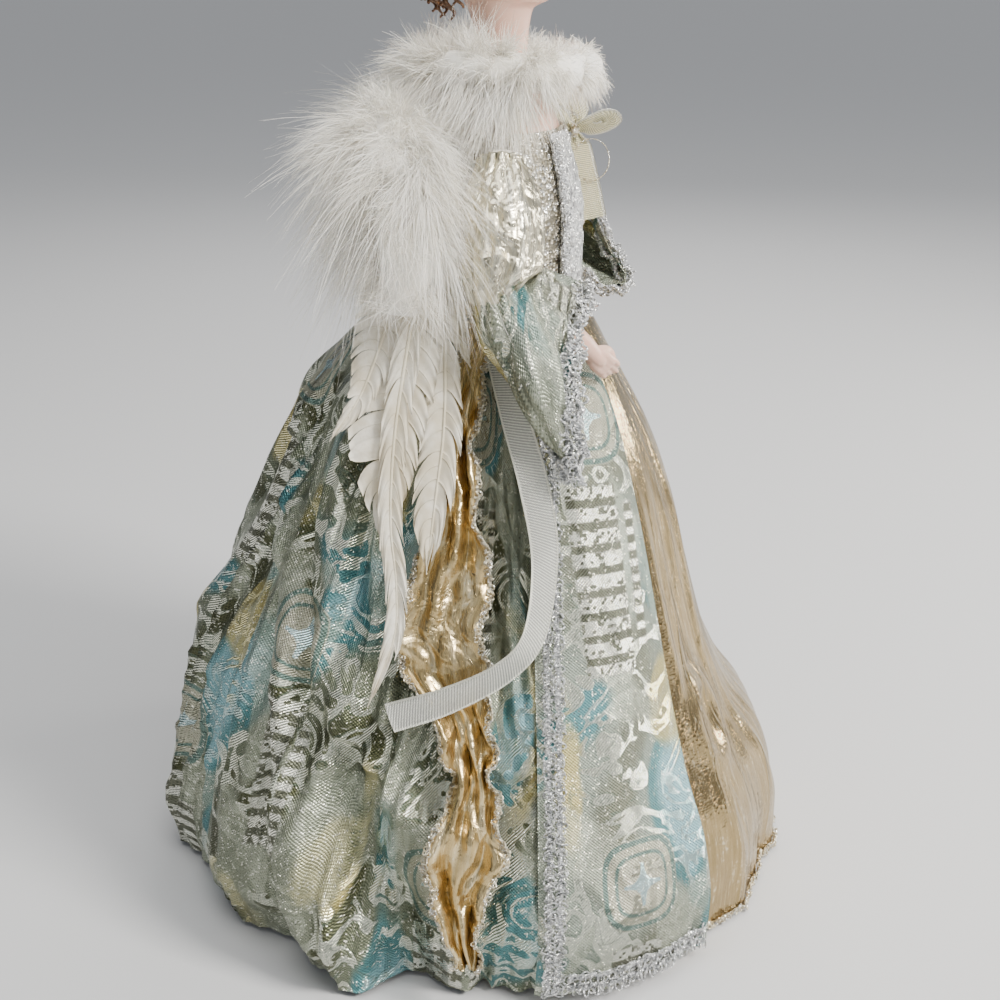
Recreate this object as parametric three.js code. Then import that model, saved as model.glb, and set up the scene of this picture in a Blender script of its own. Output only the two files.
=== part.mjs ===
// Angel figurine: a porcelain bust on a card cone, in brocade and gold lame skirts,
// with wired arms, feather wings and a marabou collar. Millimetres, +Z up. The figure
// faces -Y, its right side is -X, and the origin is the centre of the board's underside.
import * as THREE from 'three';

// Heights
const boardThickness = 5;
const hemHeight = 2;
const shoulderHeight = 325;
const waistDrop = 77;
const bustDrop = 28;
const shoulderSlope = 7;
const armJointDrop = 13;
const laceTopDrop = 8;
const wingRootDrop = 17;
const neckRise = 8;
const neckLength = 27;
const headHeight = 60;

// Clearances and cloth walls
const nip = 0.3;
const clothWall = 1.2;
const braidWall = 1.6;
const porcelainWall = 3;

// Body under the dress
const bodyShift = 8;
const waistRadius = 29.7;
const chestHalfWidth = 36;
const chestHalfDepth = 30;
const shoulderHalfWidth = 40;
const shoulderHalfDepth = 22;
const neckRadius = 10.5;
const headHalfWidth = 19;
const headHalfDepth = 22;
const torsoPlugDepth = 14;

// Board and cone
const boardInset = 16;
const coneFootInset = 8;
const coneTopRadius = 25.5;
const coneWall = 2;

// Skirts
const frontReach = 134;
const sideReach = 128;
const backReach = 150;
const backDraw = 7;
const hemTuck = 3.6;
const overFold = 8.5;
const overSink = 3.5;
const underFold = 2.4;
const underGap = 16;
const tabardLift = 3;
const tabardFold = 1;
const waistbandHeight = 12;
const waistbandWall = 2.5;

// Trims, sashes and ribbons
const trimWidth = 12;
const hemCordRadius = 1.6;
const sashTopWidth = 13;
const sashFootWidth = 30;
const sashWave = 2.5;
const sashFootHeight = 24;
const ribbonWidth = 11;
const ribbonStartLift = 5.5;
const ribbonFallLift = 9.5;
const ribbonOverLift = 13;
const ribbonEndLift = 11;

// Arms and hands
const armReach = 74;
const armRadius = 8;
const wristRadius = 5;
const palmHalfWidth = 7.5;
const palmHalfThickness = 3.6;
const fingerHalfWidth = 4;
const fingerHalfThickness = 2.4;
const sleeveWall = 1.2;
const sleeveEase = 2.6;
const cuffTrimDepth = 7;
const cuffDrop = 24;

// Collar, hair and wings
const collarRadius = 30;
const collarHalfWidth = 13;
const collarHalfHeight = 11.5;
const collarLift = 5.7;
const hairDepth = 6.5;
const bracketWidth = 34;
const bracketHeight = 22;
const bracketThickness = 3;
const wingSpan = 72;
const wingLength = 84;
const downHalfWidth = 19;
const downHalfThickness = 9.5;
const frameThickness = 1.6;
const frameHalfWidth = 5;
const featherThickness = 1;
const featherHalfWidth = 10;
const featherFall = 140;
const featherSheetDrop = 46;
const featherSheetOut = 68.6;

// Bow in the raised hand
const bowThickness = 2;
const bowLoopLength = 14;
const bowLoopWidth = 9;
const bowTailLength = 34;
const bowTailWidth = 6.5;

// Heights that follow the shoulders, and the board that follows the hem
const skirtTop = shoulderHeight - waistDrop;
const bustSeat = shoulderHeight - bustDrop;
const shoulderEdge = shoulderHeight - shoulderSlope;
const wingRootHeight = shoulderHeight - wingRootDrop;
const neckHeight = shoulderHeight + neckRise;
const chinHeight = neckHeight + neckLength;
const boardRadius = Math.min(frontReach, sideReach, backReach - backDraw) - boardInset;
const coneFootRadius = boardRadius - coneFootInset;

const degree = Math.PI / 180;
const point = (x, y, z) => new THREE.Vector3(x, y, z);
const mix = THREE.MathUtils.lerp;
const ease = THREE.MathUtils.smoothstep;
const steps = (count) => Array.from({ length: count + 1 }, (_, i) => i / count);

// Reads a table of [share, share] pairs, with straight runs between them
function follow(table, share) {
  const next = table.findIndex(([at]) => at >= share);
  if (next <= 0) return next === 0 ? table[0][1] : table.at(-1)[1];
  const [a, b] = [table[next - 1], table[next]];
  return mix(a[1], b[1], (share - a[0]) / (b[0] - a[0]));
}

// Makes one closed body of triangles, facing outwards
function bodyOf(points, faces) {
  const volume = faces.reduce(
    (sum, [a, b, c]) => sum + points[a].dot(points[b].clone().cross(points[c])), 0);
  const index = faces.flatMap(([a, b, c]) => (volume < 0 ? [a, c, b] : [a, b, c]));
  const geometry = new THREE.BufferGeometry();
  geometry.setAttribute('position',
    new THREE.Float32BufferAttribute(points.flatMap((p) => p.toArray()), 3));
  geometry.setIndex(index);
  geometry.computeVertexNormals();
  return geometry;
}

// Joins two rows of point numbers; a row of one number is a pole. Turned strips keep
// the same diagonals, so a wall's two faces stay parallel
function strip(faces, upper, lower, around, turned = false) {
  const count = Math.max(upper.length, lower.length);
  const at = (row, i) => row[row.length === 1 ? 0 : i % row.length];
  for (let i = 0; i < (around ? count : count - 1); i += 1) {
    const [a, b, c, d] = [at(upper, i), at(upper, i + 1), at(lower, i + 1), at(lower, i)];
    if (a !== b) faces.push(turned ? [a, c, b] : [a, b, c]);
    if (c !== d) faces.push(turned ? [a, d, c] : [a, c, d]);
  }
}

// A wall between an outer and an inner grid of points, open or closed around
function shell(outer, inner, around = false) {
  const points = [];
  const faces = [];
  const number = (grid) => grid.map((row) => row.map((p) => points.push(p) - 1));
  const out = number(outer);
  const back = number(inner);
  const last = out.length - 1;
  for (let i = 0; i < last; i += 1) {
    strip(faces, out[i], out[i + 1], around);
    strip(faces, back[i], back[i + 1], around, true);
  }
  if (out[0].length > 1) strip(faces, back[0], out[0], around);
  strip(faces, out[last], back[last], around);
  if (!around) {
    const end = out[0].length - 1;
    strip(faces, out.map((row) => row[0]), back.map((row) => row[0]), false);
    strip(faces, back.map((row) => row[end]), out.map((row) => row[end]), false);
  }
  return bodyOf(points, faces);
}

// A solid through rings of points, its two ends closed by a fan
function loft(rings) {
  const points = [];
  const faces = [];
  const rows = rings.map((ring) => ring.map((p) => points.push(p) - 1));
  const centre = (ring) => ring.reduce((sum, p) => sum.add(p), point(0, 0, 0))
    .divideScalar(ring.length);
  const first = points.push(centre(rings[0])) - 1;
  const final = points.push(centre(rings.at(-1))) - 1;
  strip(faces, [first], rows[0], true);
  rows.slice(1).forEach((row, i) => strip(faces, rows[i], row, true));
  strip(faces, rows.at(-1), [final], true);
  return bodyOf(points, faces);
}

// An upright oval ring of the body: centre line shifted towards the face
function oval(halfWidth, halfDepth, height, shift, count) {
  return steps(count).slice(0, count).map((share) => point(
    halfWidth * Math.sin(share * 2 * Math.PI),
    -shift - halfDepth * Math.cos(share * 2 * Math.PI), height));
}

// The same piece on the figure's other side
function mirrored(geometry) {
  const other = geometry.clone().scale(-1, 1, 1);
  const order = geometry.index.array;
  other.setIndex(Array.from(order, (_, i) => order[i - (i % 3) + ((3 - (i % 3)) % 3)]));
  return other;
}

// Direction around the figure: 0 is the front, 90 its left side, 180 the back
const heading = (turn) => point(Math.sin(turn * degree), -Math.cos(turn * degree), 0);

// Skirt outline: shares of the fall from waist to hem, of the back and of the front reach
const dressShares = [
  [0, 0, 0], [0.035, 0.19, 0.07], [0.08, 0.29, 0.13], [0.13, 0.37, 0.2],
  [0.22, 0.46, 0.32], [0.33, 0.565, 0.425], [0.45, 0.68, 0.505], [0.58, 0.8, 0.6],
  [0.7, 0.895, 0.73], [0.8, 0.96, 0.905], [0.9, 1, 0.975], [1, 0.985, 0.99]];
const backShares = dressShares.map(([fall, back]) => [fall, back]);
const frontShares = dressShares.map(([fall, , front]) => [fall, front]);
const falls = dressShares.map(([fall]) => fall);
const skirtLength = skirtTop - hemHeight;

// Radius of the dress round its own centre line, before folds; the back is drawn in below
function dressRadius(turn, fall) {
  const facing = Math.cos(turn * degree);
  const weight = facing * facing;
  const drawn = backDraw * ease(fall, 0.5, 0.85) * (facing > 0 ? 0 : weight);
  const reach = mix(sideReach, facing > 0 ? frontReach : backReach, weight);
  const share = mix(follow(backShares, fall), follow(frontShares, fall),
    facing > 0 ? weight : 0);
  return waistRadius + clothWall * 2 + nip * 2 + (reach - waistRadius) * share - drawn;
}

// Place on the dress at a turn, a fall from 0 (waist) to 1 (hem) and a radial lift
function onDress(turn, fall, lift) {
  const radius = dressRadius(turn, fall) + lift;
  return heading(turn).multiplyScalar(radius)
    .add(point(0, -bodyShift * (1 - fall), skirtTop - skirtLength * fall));
}

// Main folds of the two skirts; they start flat at the waist
const gathered = (fall) => ease(fall, 0, 0.5);
const layer = clothWall + nip;
const overEdgeTurn = 77;
const foldStartTurn = 104;
const foldEndTurn = 122;
const frontPanelTurn = 46;

// Ridges and valleys of the overskirt. A route is a list of shares of the fall and of the
// way round from edge to edge; the width is a share of that way, and the height one of the
// deepest fold
const sideFoldShares = [
  { route: [[0.1, 0.534], [0.29, 0.626], [0.45, 0.694], [0.6, 0.733], [0.77, 0.76], [1, 0.82]],
    wide: 0.024, high: 1 },
  { route: [[0.4, 0.675], [0.6, 0.704], [1, 0.748]], wide: 0.024, high: -0.53 },
  { route: [[0.16, 0.699], [0.39, 0.731], [0.5, 0.772], [0.63, 0.837], [0.76, 0.898]],
    wide: 0.022, high: 0.65 },
  { route: [[0.68, 0.767], [0.87, 0.813], [1, 0.84]], wide: 0.02, high: 0.53 },
  { route: [[0.62, 0.806], [0.84, 0.859], [1, 0.874]], wide: 0.022, high: -0.82 },
  { route: [[0.02, 0.612], [0.25, 0.592], [0.55, 0.612], [1, 0.626]], wide: 0.034,
    high: -0.53 },
];
const backFoldShares = [
  { route: [[0.05, 0.461], [0.35, 0.481], [0.7, 0.515], [1, 0.539]], wide: 0.03, high: 0.55 },
  { route: [[0.3, 0.403], [1, 0.432]], wide: 0.034, high: -0.59 },
  { route: [[0.1, 0.354], [0.5, 0.345], [1, 0.32]], wide: 0.027, high: 0.53 },
];
const opposite = (fold) => ({ ...fold,
  route: fold.route.map(([fall, across]) => [fall, 1 - across]),
  high: fold.high * 0.9 });
const overFolds = [...sideFoldShares, ...backFoldShares, ...sideFoldShares.map(opposite)];

// Height of a fold at a place, as a share of the deepest fold
function foldAt({ route, wide, high }, across, fall) {
  const off = (across - follow(route, fall)) / wide;
  const start = ease(fall, route[0][0] - 0.1, route[0][0] + 0.06);
  const foot = route.at(-1)[0];
  const end = foot < 1 ? 1 - ease(fall, foot - 0.05, foot + 0.1) : 1;
  return high * start * end * Math.exp(-off * off);
}

function overLift(turn, fall) {
  const side = Math.abs(turn > 180 ? 360 - turn : turn);
  const across = (turn - overEdgeTurn) / (360 - 2 * overEdgeTurn);
  const fold = overFolds.reduce((sum, one) => sum + foldAt(one, across, fall), 0);
  const clear = ease(side, foldStartTurn, foldEndTurn);
  return clear * ease(fall, 0, 0.25) * (overFold * fold - overSink);
}

// Creases of the gold front. Here the way round runs from the middle to the tabard
const frontFoldShares = [
  { route: [[0.05, 0.94], [0.4, 0.94], [0.75, 0.85], [1, 0.74]], wide: 0.05, high: 1 },
  { route: [[0.3, 0.65], [0.6, 0.61], [1, 0.46]], wide: 0.1, high: -1 },
  { route: [[0.2, 0.36], [0.6, 0.34], [1, 0.26]], wide: 0.09, high: 0.8 },
];

function underLift(turn, fall) {
  const side = Math.abs(turn > 180 ? 360 - turn : turn);
  const behind = ease(side, frontPanelTurn - 10, overEdgeTurn - 8);
  const tuck = mix(layer, underGap, gathered(Math.min(1, fall * 2)));
  const shown = gathered(fall) * (1 - ease(side, frontPanelTurn - 4, frontPanelTurn + 4));
  const fold = frontFoldShares.reduce(
    (sum, one) => sum + foldAt(one, side / frontPanelTurn, fall), 0);
  return -mix(layer, tuck, behind) + shown * underFold * (fold - 0.4);
}

// A cloth wall over a stretch of the dress, given by turn and fall
function dressCloth(turns, rows, liftAt, wall, around) {
  const grid = (extra) => rows.map((fall) => turns.map(
    (turn) => onDress(turn, fall, liftAt(turn, fall) + extra)));
  return shell(grid(0), grid(-wall), around);
}

// The gold front has closer columns than the hidden rest of the underskirt
const frontColumns = 24;
const hiddenColumns = 26;
const overColumns = 52;
const frontTurns = steps(frontColumns).map((share) => mix(-frontPanelTurn, frontPanelTurn, share));

function makeUnderskirt() {
  const hidden = steps(hiddenColumns).slice(1, -1)
    .map((share) => mix(frontPanelTurn, 360 - frontPanelTurn, share));
  return dressCloth([...frontTurns, ...hidden], falls, underLift, clothWall, true);
}

// The overskirt's hem is gathered and turned under, so it stands as a puff
function makeOverskirt() {
  const turns = steps(overColumns).map((share) => mix(overEdgeTurn, 360 - overEdgeTurn, share));
  const puffed = (turn, fall) => overLift(turn, fall) - hemTuck * ease(fall, 0.9, 1);
  return dressCloth(turns, falls, puffed, clothWall, false);
}

const tabardInnerTurn = 48;
const tabardOuterTurn = 81;
const tabardRise = (fall) => mix(layer, tabardLift + clothWall, gathered(Math.min(1, fall * 3)));
const tabardFalls = [...falls.slice(0, -1), 0.985];

function tabardTop(turn, fall) {
  return tabardRise(fall) + tabardFold * gathered(fall) * Math.sin(turn * 12 * degree);
}

function makeTabard(side) {
  const turns = steps(8).map((share) => side * mix(tabardInnerTurn, tabardOuterTurn, share));
  return dressCloth(turns, tabardFalls, tabardTop, clothWall, false);
}

// The braid runs on the tabard: down its side edge, and along its foot
function makeSideBraid(side) {
  const wide = (fall) => trimWidth / dressRadius(side * tabardOuterTurn, fall) / degree;
  const grid = (extra) => tabardFalls.slice(2).map((fall) => steps(2).map((share) => {
    const turn = side * (tabardOuterTurn - wide(fall) * share);
    return onDress(turn, fall, tabardTop(turn, fall) + nip + tabardFold / 2 + extra);
  }));
  return shell(grid(braidWall), grid(0), false);
}

function makeFootBraid(side) {
  const foot = tabardFalls.at(-1);
  const past = trimWidth / dressRadius(side * tabardOuterTurn, 1) / degree + 1;
  const turns = steps(8).map((share) => side * mix(tabardInnerTurn, tabardOuterTurn - past, share));
  const rows = [foot - trimWidth / skirtLength, foot];
  const lift = (turn, fall) => tabardTop(turn, fall) + nip + tabardFold / 2 + braidWall;
  return dressCloth(turns, rows, lift, braidWall, false);
}

// Frame of a ring that is square to a path
function ringOn(path, share, halfWidth, halfThickness, sideways, count, shift = 0) {
  const centre = path.getPoint(share);
  const along = path.getTangent(share);
  const across = sideways.clone().addScaledVector(along, -sideways.dot(along)).normalize();
  const out = new THREE.Vector3().crossVectors(along, across);
  return steps(count).slice(0, count).map((step) => centre.clone()
    .addScaledVector(across, halfWidth * Math.cos(step * 2 * Math.PI))
    .addScaledVector(out, shift + halfThickness * Math.sin(step * 2 * Math.PI)));
}

// A flat strip that follows a place on the dress
function dressStrip(rows, width, place, wall) {
  const grid = (extra) => rows.map((share) => [-0.5, 0, 0.5].map(
    (across) => place(share, across * width(share), extra)));
  return shell(grid(wall), grid(0), false);
}

// Gold sash: a gathered ruffle that swings from side to side as it falls
const sashTurn = 98;
const sashSwingTurn = 3;
const sashFalls = 1 - (sashFootHeight - hemHeight) / skirtLength;

function makeSash(side) {
  const rows = falls.flatMap((fall, i) => (i ? [mix(falls[i - 1], fall, 0.5), fall] : [fall]))
    .map((fall) => fall / falls.at(-1));
  const width = (share) => mix(sashTopWidth, sashFootWidth, ease(share, 0, 0.8));
  const place = (share, across, extra) => {
    const fall = Math.min(share, sashFalls);
    const bare = sashTurn + sashSwingTurn * Math.sin(share * 5 * Math.PI) * share;
    const turn = side * (bare + across / dressRadius(side * bare, fall) / degree);
    const wave = sashWave * ease(share, 0.05, 0.3) * (1 + Math.sin(share * 9 * Math.PI));
    return onDress(turn, fall, layer - clothWall + nip * ease(share, 0, 0.1) * 4 + wave + extra);
  };
  return dressStrip(rows.filter((row) => row < sashFalls).concat(sashFalls), width, place,
    clothWall);
}

// Sheer ribbon: tacked to the waistband, bends forward and curls back at its end.
// Its route is a list of fall, turn and lift off the dress
const bandInner = waistRadius + clothWall + nip * 2;
const bandOuter = bandInner + waistbandWall + clothWall;
const ribbonRoute = [[0.035, 90, ribbonStartLift], [0.1, 86, ribbonFallLift],
  [0.2, 81, ribbonFallLift], [0.3, 79, ribbonFallLift], [0.4, 82, ribbonOverLift],
  [0.45, 88, ribbonOverLift], [0.49, 98, ribbonOverLift], [0.525, 108, ribbonEndLift]];

function makeRibbon(side) {
  const tack = heading(side * ribbonRoute[0][1]).multiplyScalar(bandOuter + nip)
    .add(point(0, -bodyShift, skirtTop + waistbandHeight / 4));
  const route = new THREE.CatmullRomCurve3([tack, ...ribbonRoute.map(
    ([fall, turn, lift]) => onDress(side * turn, fall, lift))]);
  const grid = (extra) => steps(16).map((share) => {
    const centre = route.getPoint(share);
    const along = route.getTangent(share);
    const out = point(centre.x, centre.y + bodyShift / 2, 0).normalize();
    const across = new THREE.Vector3().crossVectors(along, out).normalize();
    return [-0.5, 0, 0.5].map((step) => centre.clone()
      .addScaledVector(across, step * ribbonWidth).addScaledVector(out, extra));
  });
  return shell(grid(clothWall), grid(0), false);
}

function makeHemCord() {
  const rings = frontTurns.slice(1, -1).map((turn) => {
    const centre = onDress(turn, 1, underLift(turn, 1) + hemCordRadius + nip)
      .add(point(0, 0, hemCordRadius));
    const out = heading(turn);
    return steps(6).slice(0, 6).map((step) => centre.clone()
      .addScaledVector(out, hemCordRadius * Math.cos(step * 2 * Math.PI))
      .add(point(0, 0, hemCordRadius * Math.sin(step * 2 * Math.PI))));
  });
  return loft(rings);
}

function makeBoard() {
  const geometry = new THREE.CylinderGeometry(boardRadius, boardRadius, boardThickness, 48);
  return geometry.rotateX(Math.PI / 2).translate(0, 0, boardThickness / 2);
}

// Card cone: open at its foot, where the board closes it, and at its top for the plug
const coneTop = skirtTop - torsoPlugDepth;

function makeCone() {
  const foot = boardThickness + nip;
  const ring = (height, radius) => oval(radius, radius, height,
    bodyShift * (height - foot) / (coneTop - foot), 40);
  const outer = [ring(coneTop, coneTopRadius), ring(foot, coneFootRadius)];
  const inner = [ring(coneTop, coneTopRadius - coneWall), ring(foot, coneFootRadius - coneWall)];
  return shell(outer, inner, true);
}

// Half width and half depth of the body at a height, for body and bodice alike
const bodyHeights = [skirtTop - torsoPlugDepth, skirtTop + waistbandHeight / 2,
  mix(skirtTop, bustSeat, 0.35), mix(skirtTop, bustSeat, 0.78)];

function bodySize(height) {
  const widths = [[bodyHeights[0], waistRadius], [bodyHeights[1], waistRadius],
    [bodyHeights[2], mix(waistRadius, chestHalfWidth, 0.35)], [bodyHeights[3], chestHalfWidth],
    [bustSeat, mix(chestHalfWidth, shoulderHalfWidth, 0.4)],
    [shoulderEdge, shoulderHalfWidth], [shoulderHeight, shoulderHalfWidth * 0.88],
    [mix(shoulderHeight, neckHeight, 0.6), shoulderHalfWidth * 0.55], [neckHeight, neckRadius]];
  const depths = [[bodyHeights[0], waistRadius], [bodyHeights[1], waistRadius],
    [bodyHeights[2], mix(waistRadius, chestHalfDepth, 0.4)], [bodyHeights[3], chestHalfDepth],
    [bustSeat, mix(chestHalfDepth, shoulderHalfDepth, 0.25)],
    [shoulderEdge, shoulderHalfDepth], [shoulderHeight, shoulderHalfDepth * 0.85],
    [mix(shoulderHeight, neckHeight, 0.6), shoulderHalfDepth * 0.65], [neckHeight, neckRadius]];
  return [follow(widths, height), follow(depths, height)];
}

const bodyColumns = 24;

function bodyRing(height, lift) {
  const [halfWidth, halfDepth] = bodySize(height);
  return oval(halfWidth + lift, halfDepth + lift, height, bodyShift, bodyColumns);
}

function makeTorso() {
  const plugRadius = coneTopRadius - coneWall - nip;
  const plug = (height) => oval(plugRadius, plugRadius, height, bodyShift, bodyColumns);
  const seat = coneTop + nip;
  const heights = [seat + nip, bodyHeights[1], bodyHeights[2], bodyHeights[3], bustSeat - nip];
  return loft([plug(coneTop - torsoPlugDepth / 2), plug(seat),
    ...heights.map((height) => bodyRing(height, 0))]);
}

// Bust: shoulder plate, neck and head in one hollow piece, open below
const headShares = [[0, 0.5, 0.42, 0.22], [0.1, 0.68, 0.66, 0.14], [0.25, 0.86, 0.86, 0.06],
  [0.42, 0.97, 0.97, 0], [0.6, 1, 1, -0.04], [0.78, 0.86, 0.88, -0.05],
  [0.91, 0.58, 0.6, -0.05], [0.98, 0.25, 0.26, -0.04]];

function makeBust() {
  const ring = (height, halfWidth, halfDepth, shift) => oval(halfWidth, halfDepth, height,
    shift, bodyColumns);
  const plate = [bustSeat, shoulderEdge, shoulderHeight,
    mix(shoulderHeight, neckHeight, 0.6), neckHeight];
  const head = headShares.map(([rise, wide, deep, forward]) => [chinHeight + rise * headHeight,
    wide * headHalfWidth, deep * headHalfDepth, bodyShift + forward * headHalfDepth]);
  const neck = [[mix(neckHeight, chinHeight, 0.7), neckRadius * 0.92, neckRadius * 0.92,
    bodyShift]];
  const skin = (wall) => [
    ...plate.map((height) => {
      const [halfWidth, halfDepth] = bodySize(height);
      return ring(height, halfWidth - wall, halfDepth - wall, bodyShift);
    }),
    ...[...neck, ...head].map(([height, wide, deep, shift]) => ring(height - wall * 0.35,
      wide - wall, deep - wall, shift)),
  ].reverse();
  const crown = point(0, -bodyShift + headHalfDepth * 0.04, chinHeight + headHeight);
  const under = crown.clone().sub(point(0, 0, porcelainWall));
  return shell([[crown], ...skin(0)], [[under], ...skin(porcelainWall)], true);
}

// Wig: a cap over the crown, longer at the sides and the back
function makeWig() {
  const middle = point(0, headHalfDepth * 0.045 - bodyShift, chinHeight + headHeight * 0.52);
  const rise = headHeight * 0.48;
  const place = (share, fall, lift) => {
    const turn = share * 360;
    const hairline = mix(56, 122, ease(1 - Math.cos(turn * degree), 0.35, 1.15));
    const down = fall * hairline * degree;
    const flat = Math.sin(down);
    return heading(turn).multiply(point(headHalfWidth + lift, headHalfDepth + lift, 0))
      .multiplyScalar(flat).add(point(0, 0, (rise + lift) * Math.cos(down))).add(middle);
  };
  const grid = (lift) => [[place(0, 0, lift)], ...steps(5).slice(1).map((fall) => steps(20)
    .slice(0, 20).map((share) => place(share, fall, lift)))];
  const inner = nip * 7;
  return shell(grid(inner + hairDepth), grid(inner), true);
}

// Marabou collar: an oval section run round the neck
function makeCollar() {
  const section = steps(8).slice(0, 8).map((step) => new THREE.Vector2(
    collarRadius + collarHalfWidth * Math.cos(step * 2 * Math.PI),
    collarHalfHeight * Math.sin(step * 2 * Math.PI)));
  const points = steps(bodyColumns).slice(0, bodyColumns).flatMap((share) => section.map(
    (at) => heading(share * 360).multiplyScalar(at.x)
      .add(point(0, -bodyShift, neckHeight + collarLift + at.y))));
  const faces = [];
  const row = (i) => section.map((_, n) => (i % bodyColumns) * section.length + n);
  for (let i = 0; i < bodyColumns; i += 1) strip(faces, row(i), row(i + 1), true);
  return bodyOf(points, faces);
}

function makeBodice() {
  const heights = [shoulderEdge, bustSeat, bodyHeights[3], bodyHeights[2],
    bodyHeights[1], skirtTop + nip * 2];
  const grid = (lift) => heights.map((height) => bodyRing(height, lift));
  return shell(grid(nip + clothWall), grid(nip), true);
}

const laceTurn = 45;

function makeLace() {
  const heights = [shoulderHeight - laceTopDrop, bustSeat, bodyHeights[3], bodyHeights[2],
    skirtTop + waistbandHeight / 2 + nip];
  const start = nip * 2 + clothWall;
  const grid = (lift) => heights.map((height) => {
    const [halfWidth, halfDepth] = bodySize(height);
    return steps(6).map((share) => {
      const turn = mix(-laceTurn, laceTurn, share);
      return heading(turn).multiply(point(halfWidth + lift, halfDepth + lift, 0))
        .add(point(0, -bodyShift, height));
    });
  });
  return shell(grid(start + braidWall), grid(start), false);
}

function makeWaistband() {
  const ring = (height, radius) => oval(radius, radius, height, bodyShift, bodyColumns);
  const top = skirtTop + waistbandHeight / 2;
  const foot = skirtTop + nip;
  return shell([ring(top, bandOuter), ring(foot, bandOuter)],
    [ring(top, bandInner), ring(foot, bandInner)], true);
}

// Arms: the stuffed upper part and the porcelain forearm with its hand share one path,
// given in shares of the arm's reach: inwards, forwards and upwards from the shoulder
const shoulderJoint = point(
  bodySize(shoulderHeight - armJointDrop)[0] + clothWall + sleeveWall + armRadius - nip * 4,
  -bodyShift, shoulderHeight - armJointDrop);
const armShares = {
  right: [[0, 0, 0], [-0.136, 0, -0.297], [-0.22, 0, -0.595], [-0.2, 0.17, -0.76],
    [-0.14, 0.38, -0.89], [-0.08, 0.486, -1], [-0.03, 0.595, -1.108]],
  left: [[0, 0, 0], [-0.1, 0.08, -0.26], [-0.14, 0.2, -0.52], [-0.04, 0.38, -0.56],
    [0.07, 0.47, -0.44], [0.16, 0.47, -0.27], [0.22, 0.41, -0.1]],
};

function armPath(side) {
  const sign = side === 'right' ? -1 : 1;
  return new THREE.CatmullRomCurve3(armShares[side].map(([inward, forward, up]) => point(
    sign * (shoulderJoint.x - inward * armReach), shoulderJoint.y - forward * armReach,
    shoulderJoint.z + up * armReach)));
}

const armPaths = { right: armPath('right'), left: armPath('left') };
const forearmShare = 0.72;
const armRows = [0, 0.08, 0.18, 0.28, 0.38, 0.48, 0.58];

function makeHand(side) {
  const sizes = [[armRows.at(-1), armRadius * forearmShare, armRadius * forearmShare],
    [0.7, wristRadius, wristRadius * 0.9], [0.8, wristRadius * 0.9, wristRadius * 0.75],
    [0.87, palmHalfWidth, palmHalfThickness],
    [0.93, palmHalfWidth * 0.85, palmHalfThickness * 0.8],
    [0.97, fingerHalfWidth, fingerHalfThickness],
    [1, fingerHalfWidth * 0.5, fingerHalfThickness * 0.5]];
  return loft(sizes.map(([share, wide, thick]) => ringOn(armPaths[side], share, wide, thick,
    handAcross[side], 10)));
}

// Bell sleeves: close round the arm above, then each oval hangs lower towards the cuff
const sleeveHang = { right: point(-0.58, 0, -1), left: point(0.1, -0.35, -0.94) };
const handAcross = { right: point(0, -0.4, 1), left: point(0, 1, 0.3) };
const outward = { right: point(-1, 0, 0), left: point(1, 0, 0) };
const sleeveFlatShares = { right: 0.65, left: 0.85 };
const sleeveOpenShares = [0, 0, 0.04, 0.1, 0.2, 0.42, 0.72, 1];
const sleeveRows = [0.02, ...armRows.slice(1), 0.7];

// Direction in which a ring's long side lies: outwards at the shoulder, down at the cuff
function hangAt(side, row) {
  return outward[side].clone().lerp(sleeveHang[side], Math.sqrt(sleeveOpenShares[row]));
}

function makeUpperArm(side) {
  const ring = (row, share, radius) => ringOn(armPaths[side], share, radius, radius,
    hangAt(side, row), 12);
  const last = armRows.length - 1;
  return loft([ring(0, 0, armRadius * 0.6),
    ...armRows.slice(1, -1).map((share, i) => ring(i + 1, share,
      armRadius * mix(1, forearmShare, share / armRows[last]))),
    ring(last, armRows[last] - nip / armReach, armRadius * forearmShare)]);
}

function sleeveRing(side, row, lift) {
  const share = sleeveRows[row];
  const open = sleeveOpenShares[row];
  const radius = armRadius + nip + sleeveEase * THREE.MathUtils.clamp((row - 1) / 2, 0, 1);
  const along = armPaths[side].getTangent(share);
  const hang = hangAt(side, row);
  const down = hang.clone().addScaledVector(along, -hang.dot(along) * (1 - open * 0.7))
    .normalize();
  const across = new THREE.Vector3().crossVectors(along, down).normalize();
  const centre = armPaths[side].getPoint(share).addScaledVector(down, cuffDrop * open * 0.6);
  const tall = radius + cuffDrop * open + lift;
  return steps(12).slice(0, 12).map((step) => centre.clone()
    .addScaledVector(down, tall * Math.cos(step * 2 * Math.PI))
    .addScaledVector(across, (radius * mix(1, sleeveFlatShares[side], open) + lift)
      * Math.sin(step * 2 * Math.PI)));
}

function makeSleeve(side) {
  const grid = (lift) => sleeveRows.map((_, row) => sleeveRing(side, row, lift));
  return shell(grid(sleeveWall), grid(0), true);
}

// Braid round the cuff, sewn to the sleeve's mouth
function makeCuff(side) {
  const last = sleeveRows.length - 1;
  const along = armPaths[side].getTangent(sleeveRows[last]);
  const ring = (lift, ahead) => sleeveRing(side, last, lift)
    .map((p) => p.addScaledVector(along, ahead));
  const grid = (lift) => [nip, nip + cuffTrimDepth].map((ahead) => ring(lift, ahead));
  return shell(grid(braidWall), grid(0), true);
}

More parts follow.
